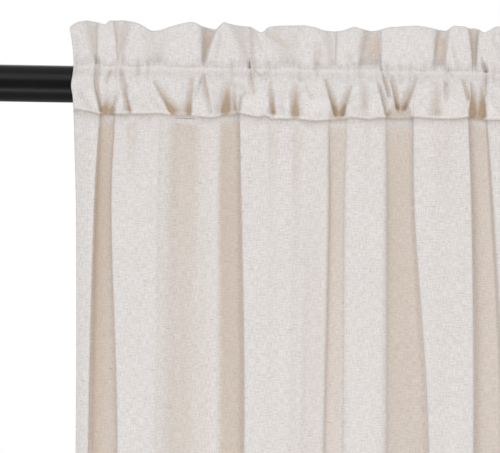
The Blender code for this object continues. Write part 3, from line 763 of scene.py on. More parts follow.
def pucker_height(x, away):
    """Return how far the gathers stand out at a distance from the stitch line."""
    height = sum(h * np.sin(2.0 * math.pi * x / length + phase + 0.7 * np.sin(x / 9.0))
                 for length, phase, h in PUCKERS)
    strength = 0.8 + 0.5 * np.sin(x / 13.0 + 1.0)
    return height * strength * (1.0 - ease(away / PUCKER_REACH))


def grid_normals(points):
    """Return unit normals of a grid of points, on the right side of the cloth."""
    down = np.gradient(points, axis=0)
    along = np.gradient(points, axis=1)
    normals = np.cross(down, along)
    lengths = np.linalg.norm(normals, axis=2, keepdims=True)
    return normals / np.maximum(lengths, 1e-9)


def side_share(shares):
    """Return 1 in the side hems and 0 between them, with a short ramp."""
    edge = np.minimum(shares, 1.0 - shares) * CLOTH_WIDTH
    return 1.0 - ease((edge - SIDE_HEM) / 3.0)


def stitch_line_height(low, shares):
    """Return the stitch line's distance from the rod's axis, and its height above it."""
    radius = PINCH_RADIUS + HEM_GAP * side_share(shares)
    return radius, np.sqrt(radius ** 2 - low[:, 1] ** 2)


def closest_radius(shares):
    """Return the least distance of the cloth from the rod's axis."""
    return CLOSEST_RADIUS + (CLOSEST_HEM_RADIUS - CLOSEST_RADIUS) * side_share(shares)


def heading_front(top, low, shares):
    """Return the rows of the heading's front layer, from its top edge to the stitch line."""
    rows = []
    top_height = table_line(TOP_EDGE, top[:, 0])
    low_height = stitch_line_height(low, shares)[1]
    for share in np.linspace(0.0, 1.0, HEADING_ROWS):
        x = top[:, 0] + (low[:, 0] - top[:, 0]) * (1.0 - (1.0 - share) ** 1.7)
        y = top[:, 1] + (low[:, 1] - top[:, 1]) * share ** 1.25 - 0.6 * math.sin(math.pi * share)
        z = top_height + (low_height - top_height) * share
        fade = math.sin(math.pi * min(share + 0.15, 1.0))
        front = ease((-1.0 - y) / 3.0)
        y = y + (crease_depth(x, z)[0] + 0.5 * uneven(x, z) * fade) * front
        y = y - pucker_height(x, z - low_height) * (0.35 + 0.65 * front) * (share < 1.0)
        rows.append(np.stack((x, y, z), axis=1))
    return np.array(rows)


def pocket_front(low, seam, seam_recess, shares):
    """Return the rows of the pocket's front layer, from the stitch line to the seam."""
    band_recess = ease((low[:, 1] + 6.0) / 2.0)
    low_radius, low_height = stitch_line_height(low, shares)
    seam_height = table_line(SEAM_LINE, seam[:, 0])
    start = np.arctan2(-low[:, 1], low_height)
    end = np.mod(np.arctan2(-seam[:, 1], seam_height), 2.0 * math.pi)
    reach = np.hypot(seam[:, 1], seam_height)
    closest = closest_radius(shares)
    rows = []
    for share in np.linspace(0.0, 1.0, POCKET_ROWS + 2)[1:]:
        x = low[:, 0] + (seam[:, 0] - low[:, 0]) * ease(share)
        angle = start + (end - start) * share
        hollow = seam_recess * ease((share - 0.38) / 0.34)
        swell = POCKET_SWELL * math.sin(math.pi * share ** 0.85) ** 1.2 * (1.0 - hollow)
        swell *= 1.0 - 0.8 * band_recess * (1.0 - ease(share / 0.4))
        out = ease((share - 0.52 - 0.16 * seam_recess) / (0.48 - 0.16 * seam_recess))
        radius = POCKET_RADIUS + swell + (reach - POCKET_RADIUS) * out
        radius += (low_radius - POCKET_RADIUS) * (1.0 - ease(share / 0.14))
        z = radius * np.cos(angle)
        strength = ease(share / 0.05) * ease((1.0 - share) / 0.16)
        radius += 1.1 * uneven(x, z) * strength
        radius += pucker_height(x, low_height - z) * ease(share / 0.04) * (1.0 - 0.8 * band_recess)
        radius = np.maximum(radius, closest)
        y = -radius * np.sin(angle)
        z = radius * np.cos(angle)
        limit = np.sqrt(np.maximum(closest ** 2 - z ** 2, 0.0))
        pressed = np.minimum(y + crease_depth(x, z)[0] * strength, -limit)
        y = np.where(y < -limit, pressed, y)
        rows.append(np.stack((x, y, z), axis=1))
    rows[-1][:, 2] = seam_height
    rows[-1][:, 1] += SEAM_GROOVE
    rows[-2][:, 1] -= SEAM_LIP
    rows = np.array(rows)
    mouth = np.exp(-((rows[:, :, 2] + 1.0) / 5.5) ** 2)
    rows[:, :, 0] -= MOUTH_BULGE * mouth * np.exp(-shares * CLOTH_WIDTH / 3.5)
    rows[:, :, 0] += MOUTH_BULGE * mouth * np.exp(-(1.0 - shares) * CLOTH_WIDTH / 3.5)
    return rows


def smooth_down(points, first, last, times):
    """Ease the bend between some rows of a grid."""
    for _ in range(times):
        middle = points[first:last]
        points[first:last] = 0.5 * middle + 0.25 * (points[first - 1:last - 1]
                                                    + points[first + 1:last + 1])


def pocket_back(low, seam, seam_recess, shares):
    """Return the rows of the pocket's back layer, from its turned lower edge to the stitch line."""
    sides = side_share(shares)
    low_y = low[:, 1] + 0.8
    low_radius = PINCH_BACK_RADIUS + HEM_GAP * sides
    low_height = np.sqrt(low_radius ** 2 - np.minimum(low_y ** 2, 60.0))
    seam_height = table_line(SEAM_LINE, seam[:, 0])
    seam_y = seam[:, 1] + LAYER_GAP + HEM_GAP * sides
    start = np.arctan2(low_y, low_height)
    end = np.mod(np.arctan2(seam_y, seam_height), 2.0 * math.pi)
    reach = np.hypot(seam_y, seam_height)
    closest = closest_radius(shares)
    rows = []
    for share in np.linspace(1.0, 0.0, BACK_POCKET_ROWS):
        x = low[:, 0] + (seam[:, 0] - low[:, 0]) * ease(share)
        angle = start + (end - start) * share
        fullness = seam_recess * ease(share / 0.5) + 0.25
        swell = POCKET_BACK_SWELL * math.sin(math.pi * share) ** 0.8 * fullness
        out = ease((share - 0.55) / 0.45)
        radius = POCKET_RADIUS - 0.3 + swell + (reach - POCKET_RADIUS + 0.3) * out
        radius += (low_radius - POCKET_RADIUS + 0.3) * (1.0 - ease(share / 0.14))
        strength = ease(share / 0.1) * ease((1.0 - share) / 0.1)
        z = radius * np.cos(angle)
        radius += strength * (0.9 * uneven(x + 31.0, z) + 0.5 * pucker_height(x + 5.0, 11.0 - z))
        radius = np.maximum(radius, closest)
        rows.append(np.stack((x, radius * np.sin(angle), radius * np.cos(angle)), axis=1))
    rows[0][:, 2] = seam_height
    turned = rows[0] + np.stack((0.0 * seam_y, 0.0 * seam_y, 0.0 * seam_y - 2.4), axis=1)
    inner = turned + np.stack((0.0 * seam_y, 0.0 * seam_y - 0.5, 0.0 * seam_y + 0.2), axis=1)
    return np.array([inner, turned, *rows])


def body_rows(plans, seam_heights, seam_recess, shares):
    """Return the rows of the body, from just below the seam to the hem, and their painted shades."""
    rows = []
    shades = []
    flat = shares * CLOTH_WIDTH
    for drop in BODY_ROWS:
        height = max(SEAM_HEIGHT - drop, HEM_HEIGHT)
        plan = between_levels(height, plans)
        x = plan[:, 0].copy()
        y = plan[:, 1].copy()
        front = ease((-y - 0.5) / 4.0)
        for h in HOLLOWS:
            y += hollow_part(h, x, height, h.deep, h.deep_below) * front * ease(drop / 6.0)
        low = min(1.0, drop / 60.0)
        y += low * 0.55 * np.sin(flat / 41.0 + height / 37.0) * np.sin(height / 59.0 + flat / 90.0)
        x += low * 0.45 * np.sin(flat / 33.0 - height / 71.0 + 1.0)
        sag = (seam_heights - SEAM_HEIGHT) * (1.0 - ease(drop / 45.0))
        y += SEAM_GROOVE * math.exp(-(drop / 2.2) ** 2)
        rows.append(np.stack((x, y, height + sag), axis=1))
        # A painted dark line just under the seam, and painted light that makes the cloth paler a little
        # further down, where the pocket's overhang shades it
        line = 0.8 * math.exp(-((drop - 0.9) / 0.6) ** 2)
        shade = body_shade(plan[:, 0], plan[:, 1], height, front)
        shades.append(np.maximum(shade - 0.95 * math.exp(-((drop - 2.6) / 3.4) ** 2), line))
    return np.array(rows), np.array(shades)


def turn_hems(points, shades, flat_down, shares):
    """Turn the bottom hem up behind the body, and carry the painted shades along."""
    normals = grid_normals(points)
    sides = side_share(shares)[None, :, None]
    hem_top = flat_down[-1] - BOTTOM_HEM
    first = int(np.argmin(np.abs(flat_down - hem_top)))
    fold = points[-1:] - normals[-1:] * 0.3 - (0.0, 0.0, 0.25)
    order = list(range(len(points) - 1, first - 1, -1))
    gap = 0.7 + 1.1 * sides
    turned = points[order] - normals[order] * gap
    turned[0, :, 2] += 0.1
    full = np.concatenate((points, fold, turned))
    full_shades = np.concatenate((shades, shades[-1:], shades[order]))
    flat_full = np.concatenate((flat_down, flat_down[-1:] + 0.4,
                                2.0 * flat_down[-1] + 0.8 - flat_down[order]))
    full_normals = grid_normals(full)
    full_normals[len(points)] = normals[-1] * 0.2 + (0.0, 0.0, -1.0)
    return full, full_shades, flat_full, full_normals


def side_hems(full, normals, count):
    """Add the columns of the side hems, on the wrong side of the cloth."""
    hem = full - normals * HEM_GAP
    left = hem[:, 1:count + 1][:, ::-1]
    right = hem[:, -count - 1:-1][:, ::-1]
    fold_left = full[:, :1] - normals[:, :1] * 0.3 - (0.28, 0.0, 0.0)
    fold_right = full[:, -1:] - normals[:, -1:] * 0.3 + (0.28, 0.0, 0.0)
    return np.concatenate((left, fold_left, full, fold_right, right), axis=1)


def cloth_grid():
    """Return the cloth's points and painted shades, and its flat places down and across."""
    shares = column_shares()
    plans = [dense_line(body_corners(level), body_roundings(level)) for level in range(4)]
    plans = sample_plans(plans, shares)
    heads = []
    for level in (0, 1):
        corners = heading_corners(level)
        heads.append(dense_line(corners, [HEADING_ROUNDINGS[level]] * len(corners)))
    top, low = sample_plans(heads, shares)
    seam = plans[0]
    recess = (seam[:, 1] - seam[:, 1].min()) / np.ptp(seam[:, 1])
    width = 9
    padded = np.pad(recess, width, mode="edge")
    recess = np.convolve(padded, np.ones(2 * width + 1) / (2 * width + 1), mode="valid")
    front = heading_front(top, low, shares)
    pocket = pocket_front(front[-1][:, :2], seam, recess, shares)
    seam_heights = pocket[-1][:, 2]
    upper = np.concatenate((front, pocket))
    bend = len(front)
    smooth_down(upper, bend - STITCH_LINE_BEND, bend + STITCH_LINE_BEND, 12)
    away = np.hypot(upper[:, :, 1], upper[:, :, 2])
    push = np.maximum(1.0, closest_radius(shares) / away)
    upper[:, :, 1:] *= push[:, :, None]
    front = upper[:bend]
    pocket = upper[bend:]
    body, body_shades = body_rows(plans, seam_heights, recess, shares)
    normals = grid_normals(front)
    gap = (LAYER_GAP + HEM_GAP * side_share(shares))[None, :, None]
    steps = np.linspace(0, HEADING_ROWS - 1, BACK_HEADING_ROWS + 1).round().astype(int)
    behind = (front - normals * gap)[steps][::-1]
    back = pocket_back(low, seam, recess, shares)
    settle = ease(np.linspace(1.0, 0.0, len(behind)) * 2.2 - 1.0)[:, None, None]
    behind = behind * (1.0 - settle) + (behind + (back[-1] - behind[0])) * settle
    crest = 0.5 * (front[0] + behind[-1]) + (0.0, 0.0, 0.35)
    points = np.concatenate((back[:-1], behind, crest[None], front, pocket, body))
    head_shades = [heading_shade(row[:, 0], row[:, 2], share)
                   for row, share in zip(front, np.linspace(0.0, 1.0, HEADING_ROWS))]
    pocket_shades = [pocket_shade(row[:, 0], row[:, 2]) for row in pocket]
    join = ease(np.linspace(0.0, 1.0, 5))[1:-1]
    for step, part in enumerate(join):
        head_shades[step - 3] = (1.0 - part) * head_shades[step - 3] + part * pocket_shades[0]
    # The back layers take one even painted shade, and the seam row at least a middling painted shade
    back_shades = np.full((len(points) - len(front) - len(pocket) - len(body), len(shares)), BACK_SHADE)
    pocket_shades[-1] = np.maximum(pocket_shades[-1], 0.5)
    shades = np.concatenate((back_shades, head_shades, pocket_shades, body_shades))
    back_flat = np.linspace(0.0, POCKET_LENGTH, len(back) - 2) + 2.4
    heading_flat = HEADING_LENGTH * np.linspace(0.0, 1.0, len(behind))
    flat = [0.0, 0.3, *back_flat[:-1], *(back_flat[-1] + heading_flat)]
    flat.append(flat[-1] + 0.7)
    flat.extend(flat[-1] + 0.7 + HEADING_LENGTH * np.linspace(0.0, 1.0, HEADING_ROWS))
    flat.extend(flat[-1] + POCKET_LENGTH * np.linspace(0.0, 1.0, POCKET_ROWS + 2)[1:])
    flat.extend(flat[-1] + np.array(BODY_ROWS))
    return points, shades, np.array(flat), shares


def add_group(name, inputs, outputs):
    """Return a new shader node group with named sockets, and its input and output nodes."""
    group = bpy.data.node_groups.new(name, "ShaderNodeTree")
    for label, kind, value in inputs:
        socket = group.interface.new_socket(label, in_out="INPUT", socket_type=kind)
        socket.default_value = value
    for label, kind in outputs:
        group.interface.new_socket(label, in_out="OUTPUT", socket_type=kind)
    return group, group.nodes.new("NodeGroupInput"), group.nodes.new("NodeGroupOutput")


def math_node(tree, operation, a, b=None, c=None):
    """Add a math node, fed by sockets or numbers, and return its output."""
    node = tree.nodes.new("ShaderNodeMath")
    node.operation = operation
    for index, value in enumerate((a, b, c)):
        if value is None:
            continue
        if isinstance(value, bpy.types.NodeSocket):
            tree.links.new(value, node.inputs[index])
        else:
            node.inputs[index].default_value = value
    return node.outputs[0]


def join_node(tree, x, y):
    """Join two numbers into a flat vector."""
    node = tree.nodes.new("ShaderNodeCombineXYZ")
    tree.links.new(x, node.inputs[0])
    tree.links.new(y, node.inputs[1])
    return node.outputs[0]


def noise_node(tree, vector, scale, detail=2.0, roughness=0.5):
    """Add a noise texture and return its value."""
    node = tree.nodes.new("ShaderNodeTexNoise")
    node.inputs["Scale"].default_value = scale
    node.inputs["Detail"].default_value = detail
    node.inputs["Roughness"].default_value = roughness
    tree.links.new(vector, node.inputs["Vector"])
    return node.outputs[0]


def remap_node(tree, value, low, high, to_low=0.0, to_high=1.0):
    """Map a range of values to another, smoothly and within its ends."""
    node = tree.nodes.new("ShaderNodeMapRange")
    node.interpolation_type = "SMOOTHSTEP"
    for name, number in (("From Min", low), ("From Max", high), ("To Min", to_low),
                         ("To Max", to_high)):
        node.inputs[name].default_value = number
    tree.links.new(value, node.inputs["Value"])
    return node.outputs["Result"]


def clamp_node(tree, value, start):
    """Return how far a value is past a start, from 0 to 1."""
    node = tree.nodes.new("ShaderNodeMapRange")
    node.inputs["From Min"].default_value = start
    node.inputs["From Max"].default_value = start + 1.0
    tree.links.new(value, node.inputs["Value"])
    return node.outputs["Result"]


def mix_colour(tree, factor, a, b):
    """Mix two colours, given as sockets or values, and return the result."""
    node = tree.nodes.new("ShaderNodeMix")
    node.data_type = "RGBA"
    for value, socket in ((factor, node.inputs[0]), (a, node.inputs[6]), (b, node.inputs[7])):
        if isinstance(value, bpy.types.NodeSocket):
            tree.links.new(value, socket)
        else:
            socket.default_value = value
    return node.outputs[2]


def uneven_tone_group():
    """Make the group that varies a finish a little over its surface."""
    group, source, result = add_group(
        "uneven tone",
        (("Vector", "NodeSocketVector", (0.0, 0.0, 0.0)), ("Scale", "NodeSocketFloat", 20.0),
         ("Amount", "NodeSocketFloat", 0.05)),
        (("Tone", "NodeSocketFloat"),))
    noise = group.nodes.new("ShaderNodeTexNoise")
    noise.inputs["Detail"].default_value = 3.0
    group.links.new(source.outputs["Vector"], noise.inputs["Vector"])
    group.links.new(source.outputs["Scale"], noise.inputs["Scale"])
    centred = math_node(group, "SUBTRACT", noise.outputs[0], 0.5)
    scaled = math_node(group, "MULTIPLY", centred, source.outputs["Amount"])
    group.links.new(math_node(group, "ADD", scaled, 1.0), result.inputs["Tone"])
    return group


def weave_group():
    """Make the group for a plain weave of uneven yarn with darker slubs.

    Its vector is the place on the flat cloth in metres. Thread is the tone of each yarn, Slub is
    where a darker thick place lies, and Height is the weave's relief from 0 to 1.
    """
    group, source, result = add_group(
        "slub weave",
        (("Vector", "NodeSocketVector", (0.0, 0.0, 0.0)),
         ("Pitch", "NodeSocketFloat", 0.0006), ("Slub Length", "NodeSocketFloat", 0.0046)),
        (("Thread", "NodeSocketFloat"), ("Slub", "NodeSocketFloat"), ("Height", "NodeSocketFloat")))
    split = group.nodes.new("ShaderNodeSeparateXYZ")
    group.links.new(source.outputs["Vector"], split.inputs[0])
    across = split.outputs[0]
    down = split.outputs[1]
    pitch = source.outputs["Pitch"]
    length = source.outputs["Slub Length"]
    across_yarn = math_node(group, "DIVIDE", across, pitch)
    down_yarn = math_node(group, "DIVIDE", down, pitch)
    across_slub = math_node(group, "DIVIDE", across, length)
    down_slub = math_node(group, "DIVIDE", down, length)
    weft = join_node(group, across_slub, down_yarn)
    warp = join_node(group, across_yarn, down_slub)
    weft_tone = noise_node(group, weft, 1.0, 1.0)
    warp_tone = noise_node(group, warp, 1.0, 1.0)
    tone = math_node(group, "ADD", weft_tone, warp_tone)
    group.links.new(remap_node(group, tone, 0.72, 1.28), result.inputs["Thread"])
    weft_slub = remap_node(group, noise_node(group, weft, 0.83, 2.0), 0.63, 0.76)
    warp_slub = remap_node(group, noise_node(group, warp, 0.79, 2.0), 0.67, 0.79)
    fleck = remap_node(group, noise_node(group, join_node(group, across_yarn, down_yarn), 0.71, 1.0),
                       0.66, 0.80)
    slub = math_node(group, "MAXIMUM", weft_slub, math_node(group, "MULTIPLY", warp_slub, 0.7))
    slub = math_node(group, "MAXIMUM", slub, fleck)
    group.links.new(slub, result.inputs["Slub"])
    over = math_node(group, "SINE", math_node(group, "MULTIPLY", across_yarn, math.pi))
    under = math_node(group, "SINE", math_node(group, "MULTIPLY", down_yarn, math.pi))
    weave = math_node(group, "MULTIPLY_ADD", math_node(group, "MULTIPLY", over, under), 0.25, 0.5)
    height = math_node(group, "MULTIPLY_ADD", slub, 0.3, weave)
    group.links.new(height, result.inputs["Height"])
    return group


def place_group(tree, group, vector, values):
    """Place a node group in a material, give it its values and return the node."""
    node = tree.nodes.new("ShaderNodeGroup")
    node.node_tree = group
    tree.links.new(vector, node.inputs["Vector"])
    for name, value in values.items():
        node.inputs[name].default_value = value
    return node


def scale_colour(tree, colour, factor):
    """Multiply a colour by a number."""
    node = tree.nodes.new("ShaderNodeVectorMath")
    node.operation = "SCALE"
    tree.links.new(colour, node.inputs[0])
    tree.links.new(factor, node.inputs["Scale"])
    return node.outputs[0]


def named_group(name, make):
    """Return a node group, made the first time that it is asked for."""
    return bpy.data.node_groups.get(name) or make()


def new_material(name):
    """Return a new material, its node tree and its surface shader."""
    material = bpy.data.materials.new(name)
    material.use_nodes = True
    return material, material.node_tree, material.node_tree.nodes["Principled BSDF"]


def uneven_colour(tree, shader, colour, scale, amount):
    """Give a shader one colour, a little uneven, and return the place and tone nodes."""
    place = tree.nodes.new("ShaderNodeTexCoord")
    cloudy = place_group(tree, named_group("uneven tone", uneven_tone_group),
                         place.outputs["Object"], {"Scale": scale, "Amount": amount})
    plain = tree.nodes.new("ShaderNodeRGB")
    plain.outputs[0].default_value = tuple(colour)
    tree.links.new(scale_colour(tree, plain.outputs[0], cloudy.outputs["Tone"]),
                   shader.inputs["Base Color"])
    return place, cloudy


def add_bump(tree, shader, height, strength, distance):
    """Give a shader a relief, and return the bump node."""
    bump = tree.nodes.new("ShaderNodeBump")
    bump.inputs["Strength"].default_value = strength
    bump.inputs["Distance"].default_value = distance
    tree.links.new(height, bump.inputs["Height"])
    tree.links.new(bump.outputs[0], shader.inputs["Normal"])
    return bump


def cloth_material():
    """Make the oatmeal cloth: a slubbed plain weave that lets some light through."""
    sizes = bpy.context.scene.curtain_sizes
    colours = bpy.context.scene.curtain_colours
    material, tree, shader = new_material("oatmeal cloth")
    flat = tree.nodes.new("ShaderNodeUVMap")
    flat.uv_map = "flat"
    weave = place_group(tree, named_group("slub weave", weave_group), flat.outputs[0],
                        {"Pitch": sizes.weave_pitch, "Slub Length": sizes.slub_length})
    cloudy = place_group(tree, named_group("uneven tone", uneven_tone_group), flat.outputs[0],
                         {"Scale": 38.0, "Amount": 0.05})
    thread = remap_node(tree, weave.outputs["Thread"], 0.0, 1.0, 1.0, 1.055)
    tone = math_node(tree, "MULTIPLY", thread, cloudy.outputs["Tone"])
    darker = remap_node(tree, weave.outputs["Thread"], 0.0, 1.0, 0.16, 0.0)
    slub = math_node(tree, "MULTIPLY_ADD", weave.outputs["Slub"], 0.42, darker)
    # The fold attribute holds painted shade and painted light: below 0 it mixes in the paler painted
    # light colour, above 0 the painted fold shade and above 1 the painted crease shade
    fold = tree.nodes.new("ShaderNodeAttribute")
    fold.attribute_name = "fold"
    faces = tree.nodes.new("ShaderNodeNewGeometry")
    # On the back faces the painted shade is turned over, as 0.8 less the front's
    behind = math_node(tree, "SUBTRACT", 0.8, fold.outputs["Fac"])
    depth = tree.nodes.new("ShaderNodeMix")
    tree.links.new(faces.outputs["Backfacing"], depth.inputs[0])
    tree.links.new(fold.outputs["Fac"], depth.inputs[2])
    tree.links.new(behind, depth.inputs[3])
    painted_pale_light = clamp_node(tree, depth.outputs[0], -1.0)
    in_painted_fold_shade = clamp_node(tree, depth.outputs[0], 0.0)
    in_painted_crease_shade = clamp_node(tree, depth.outputs[0], 1.0)
    yarn = mix_colour(tree, painted_pale_light, tuple(colours.painted_pale_light), tuple(colours.cloth))
    yarn = mix_colour(tree, in_painted_fold_shade, yarn, tuple(colours.fold))
    yarn = mix_colour(tree, in_painted_crease_shade, yarn, tuple(colours.painted_crease_shade))
    plain = mix_colour(tree, slub, yarn, tuple(colours.slub))
    glow = mix_colour(tree, slub, tuple(colours.cloth_glow), tuple(colours.slub))
    tree.links.new(scale_colour(tree, plain, tone), shader.inputs["Base Color"])
    shader.inputs["Roughness"].default_value = 0.9
    shader.inputs["Specular IOR Level"].default_value = 0.15
    shader.inputs["Sheen Weight"].default_value = 0.08
    bump = add_bump(tree, shader, weave.outputs["Height"], 0.5, WEAVE_RELIEF)
    through = tree.nodes.new("ShaderNodeBsdfTranslucent")
    tree.links.new(scale_colour(tree, glow, tone), through.inputs["Color"])
    tree.links.new(bump.outputs[0], through.inputs["Normal"])
    mix = tree.nodes.new("ShaderNodeMixShader")
    mix.inputs[0].default_value = LIGHT_THROUGH
    tree.links.new(shader.outputs[0], mix.inputs[1])
    tree.links.new(through.outputs[0], mix.inputs[2])
    tree.links.new(mix.outputs[0], tree.nodes["Material Output"].inputs["Surface"])
    return material


def thread_material():
    """Make the sewing thread: a pale matt twist."""
    material, tree, shader = new_material("sewing thread")
    uneven_colour(tree, shader, bpy.context.scene.curtain_colours.thread, 900.0, 0.3)
    shader.inputs["Roughness"].default_value = 0.7
    return material


def paint_material():
    """Make the rod's satin black paint, with a faint unevenness in its gloss."""
    material, tree, shader = new_material("satin black paint")
    place, cloudy = uneven_colour(tree, shader, bpy.context.scene.curtain_colours.rod, 60.0, 0.35)
    rough = math_node(tree, "MULTIPLY", cloudy.outputs["Tone"], 0.30)
    tree.links.new(rough, shader.inputs["Roughness"])
    shader.inputs["Specular IOR Level"].default_value = 0.14
    fine = noise_node(tree, place.outputs["Object"], 1400.0, 2.0)
    add_bump(tree, shader, fine, 0.12, PAINT_RELIEF)
    return material


def add_mesh_object(name, vertices, faces, material):
    """Add a smooth-shaded mesh object in the scene and return it."""
    mesh = bpy.data.meshes.new(name)
    mesh.from_pydata(vertices, [], faces)
    mesh.materials.append(material)
    mesh.shade_smooth()
    mesh.update()
    obj = bpy.data.objects.new(name, mesh)
    bpy.context.scene.collection.objects.link(obj)
    return obj


def grid_faces(rows, columns):
    """Return the quads of a grid, with their right side to the front."""
    index = np.arange(rows * columns).reshape(rows, columns)
    quads = (index[:-1, :-1], index[1:, :-1], index[1:, 1:], index[:-1, 1:])
    return np.stack([corner.ravel() for corner in quads], axis=1)


def full_grid():
    """Return the cloth's full grid with its turned hems, its painted shades and its flat places."""
    points, shades, down, shares = cloth_grid()
    full, shades, down, normals = turn_hems(points, shades, down, shares)
    grid = side_hems(full, normals, HEM_COLUMNS)
    left = shades[:, 1:HEM_COLUMNS + 1][:, ::-1]
    right = shades[:, -HEM_COLUMNS - 1:-1][:, ::-1]
    shades = np.concatenate((left, shades[:, :1], shades, shades[:, -1:], right), axis=1)
    across = shares * CLOTH_WIDTH
    left = -across[1:HEM_COLUMNS + 1][::-1] - 0.6
    right = 2.0 * CLOTH_WIDTH - across[-HEM_COLUMNS - 1:-1][::-1] + 0.6
    across = np.concatenate((left, (-0.3,), across, (CLOTH_WIDTH + 0.3,), right))
    return grid, shades, across, down


class CURTAIN_OT_cloth(bpy.types.Operator):
    """Make the gathered sheet of cloth with its heading, pocket and hems"""

    bl_idname = "curtain.cloth"
    bl_label = "Make the cloth"

    def execute(self, context):
        grid, shades, across, down = full_grid()
        rows, columns = grid.shape[:2]
        faces = grid_faces(rows, columns)
        cloth = add_mesh_object("panel_cloth", (grid.reshape(-1, 3) * MM).tolist(),
                                faces.tolist(), cloth_material())
        layer = cloth.data.uv_layers.new(name="flat")
        u, v = np.meshgrid(across + 12.0, down[-1] - down)
        flat = np.stack((u.ravel(), v.ravel()), axis=1) * MM
        corners = np.zeros(len(cloth.data.loops), dtype=np.int32)
        cloth.data.loops.foreach_get("vertex_index", corners)
        layer.data.foreach_set("uv", flat[corners].ravel().astype(np.float32))
        # The fold attribute carries each point's painted shade and painted light
        fold = cloth.data.attributes.new("fold", "FLOAT", "POINT")
        fold.data.foreach_set("value", shades.ravel().astype(np.float32))
        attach(cloth, "root")
        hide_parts("panel")
        return {"FINISHED"}


def stitch_lines():
    """Return the lines that the stitches follow, just off the cloth on each side."""
    points, shades, down, shares = cloth_grid()
    full, shades, down, normals = turn_hems(points, shades, down, shares)
    pinch_back = TURNED_ROWS + BACK_POCKET_ROWS - 1
    pinch = TURNED_ROWS + BACK_POCKET_ROWS + BACK_HEADING_ROWS + HEADING_ROWS
    seam = pinch + POCKET_ROWS + 1
    hem = len(points) - 1
    edge = int(np.argmin(np.abs(shares * CLOTH_WIDTH - SIDE_HEM + 1.4)))
    stitch_hem = int(np.argmin(np.abs(down - down[hem] + BOTTOM_HEM - 1.6)))
    lift = 0.5 * STITCH_THICK
    lines = []
    for row, out in ((pinch, lift), (seam, lift - 0.1), (stitch_hem, lift), (pinch_back, lift),
                     (TURNED_ROWS, lift), (stitch_hem, -0.7 - lift)):
        lines.append((full[row] + normals[row] * out)[3:-3])
    for column in (edge, -1 - edge):
        for rows, out in ((slice(seam + 1, hem + 1), lift), (slice(seam + 1, hem - 4), -0.6 - lift),
                          (slice(pinch - HEADING_ROWS + 1, pinch), lift),
                          (slice(pinch_back + 1, pinch - HEADING_ROWS), lift),
                          (slice(pinch + 1, seam), lift), (slice(TURNED_ROWS, pinch_back), lift)):
            lines.append(full[rows, column] + normals[rows, column] * out)
    return lines


def stitch_tree(material):
    """Make the node tree that sews a line: one short thread at each step along it."""
    tree = bpy.data.node_groups.new("stitches along a line", "GeometryNodeTree")
    tree.interface.new_socket("Geometry", in_out="INPUT", socket_type="NodeSocketGeometry")
    for name in ("Stitch Length", "Stitch Pitch", "Thread Thickness"):
        tree.interface.new_socket(name, in_out="INPUT", socket_type="NodeSocketFloat")
    tree.interface.new_socket("Geometry", in_out="OUTPUT", socket_type="NodeSocketGeometry")
    source = tree.nodes.new("NodeGroupInput")
    result = tree.nodes.new("NodeGroupOutput")
    line = tree.nodes.new("GeometryNodeMeshToCurve")
    steps = tree.nodes.new("GeometryNodeResampleCurve")
    steps.mode = "LENGTH"
    tangent = tree.nodes.new("GeometryNodeInputTangent")
    turn = tree.nodes.new("FunctionNodeAlignRotationToVector")
    turn.axis = "X"
    ball = tree.nodes.new("GeometryNodeMeshUVSphere")
    ball.inputs["Segments"].default_value = 6
    ball.inputs["Rings"].default_value = 5
    ball.inputs["Radius"].default_value = 0.5
    size = tree.nodes.new("ShaderNodeCombineXYZ")
    shape = tree.nodes.new("GeometryNodeTransform")
    place = tree.nodes.new("GeometryNodeInstanceOnPoints")
    real = tree.nodes.new("GeometryNodeRealizeInstances")
    smooth = tree.nodes.new("GeometryNodeSetShadeSmooth")
    finish = tree.nodes.new("GeometryNodeSetMaterial")
    finish.inputs["Material"].default_value = material
    link = tree.links.new
    link(source.outputs["Geometry"], line.inputs["Mesh"])
    link(line.outputs["Curve"], steps.inputs["Curve"])
    link(source.outputs["Stitch Pitch"], steps.inputs["Length"])
    link(source.outputs["Stitch Length"], size.inputs[0])
    link(source.outputs["Thread Thickness"], size.inputs[1])
    link(source.outputs["Thread Thickness"], size.inputs[2])
    link(ball.outputs["Mesh"], shape.inputs["Geometry"])
    link(size.outputs[0], shape.inputs["Scale"])
    link(tangent.outputs[0], turn.inputs["Vector"])
    link(steps.outputs["Curve"], place.inputs["Points"])
    link(shape.outputs["Geometry"], place.inputs["Instance"])
    link(turn.outputs[0], place.inputs["Rotation"])
    link(place.outputs["Instances"], real.inputs["Geometry"])
    link(real.outputs["Geometry"], smooth.inputs["Geometry"])
    link(smooth.outputs["Geometry"], finish.inputs["Geometry"])
    link(finish.outputs["Geometry"], result.inputs["Geometry"])
    return tree


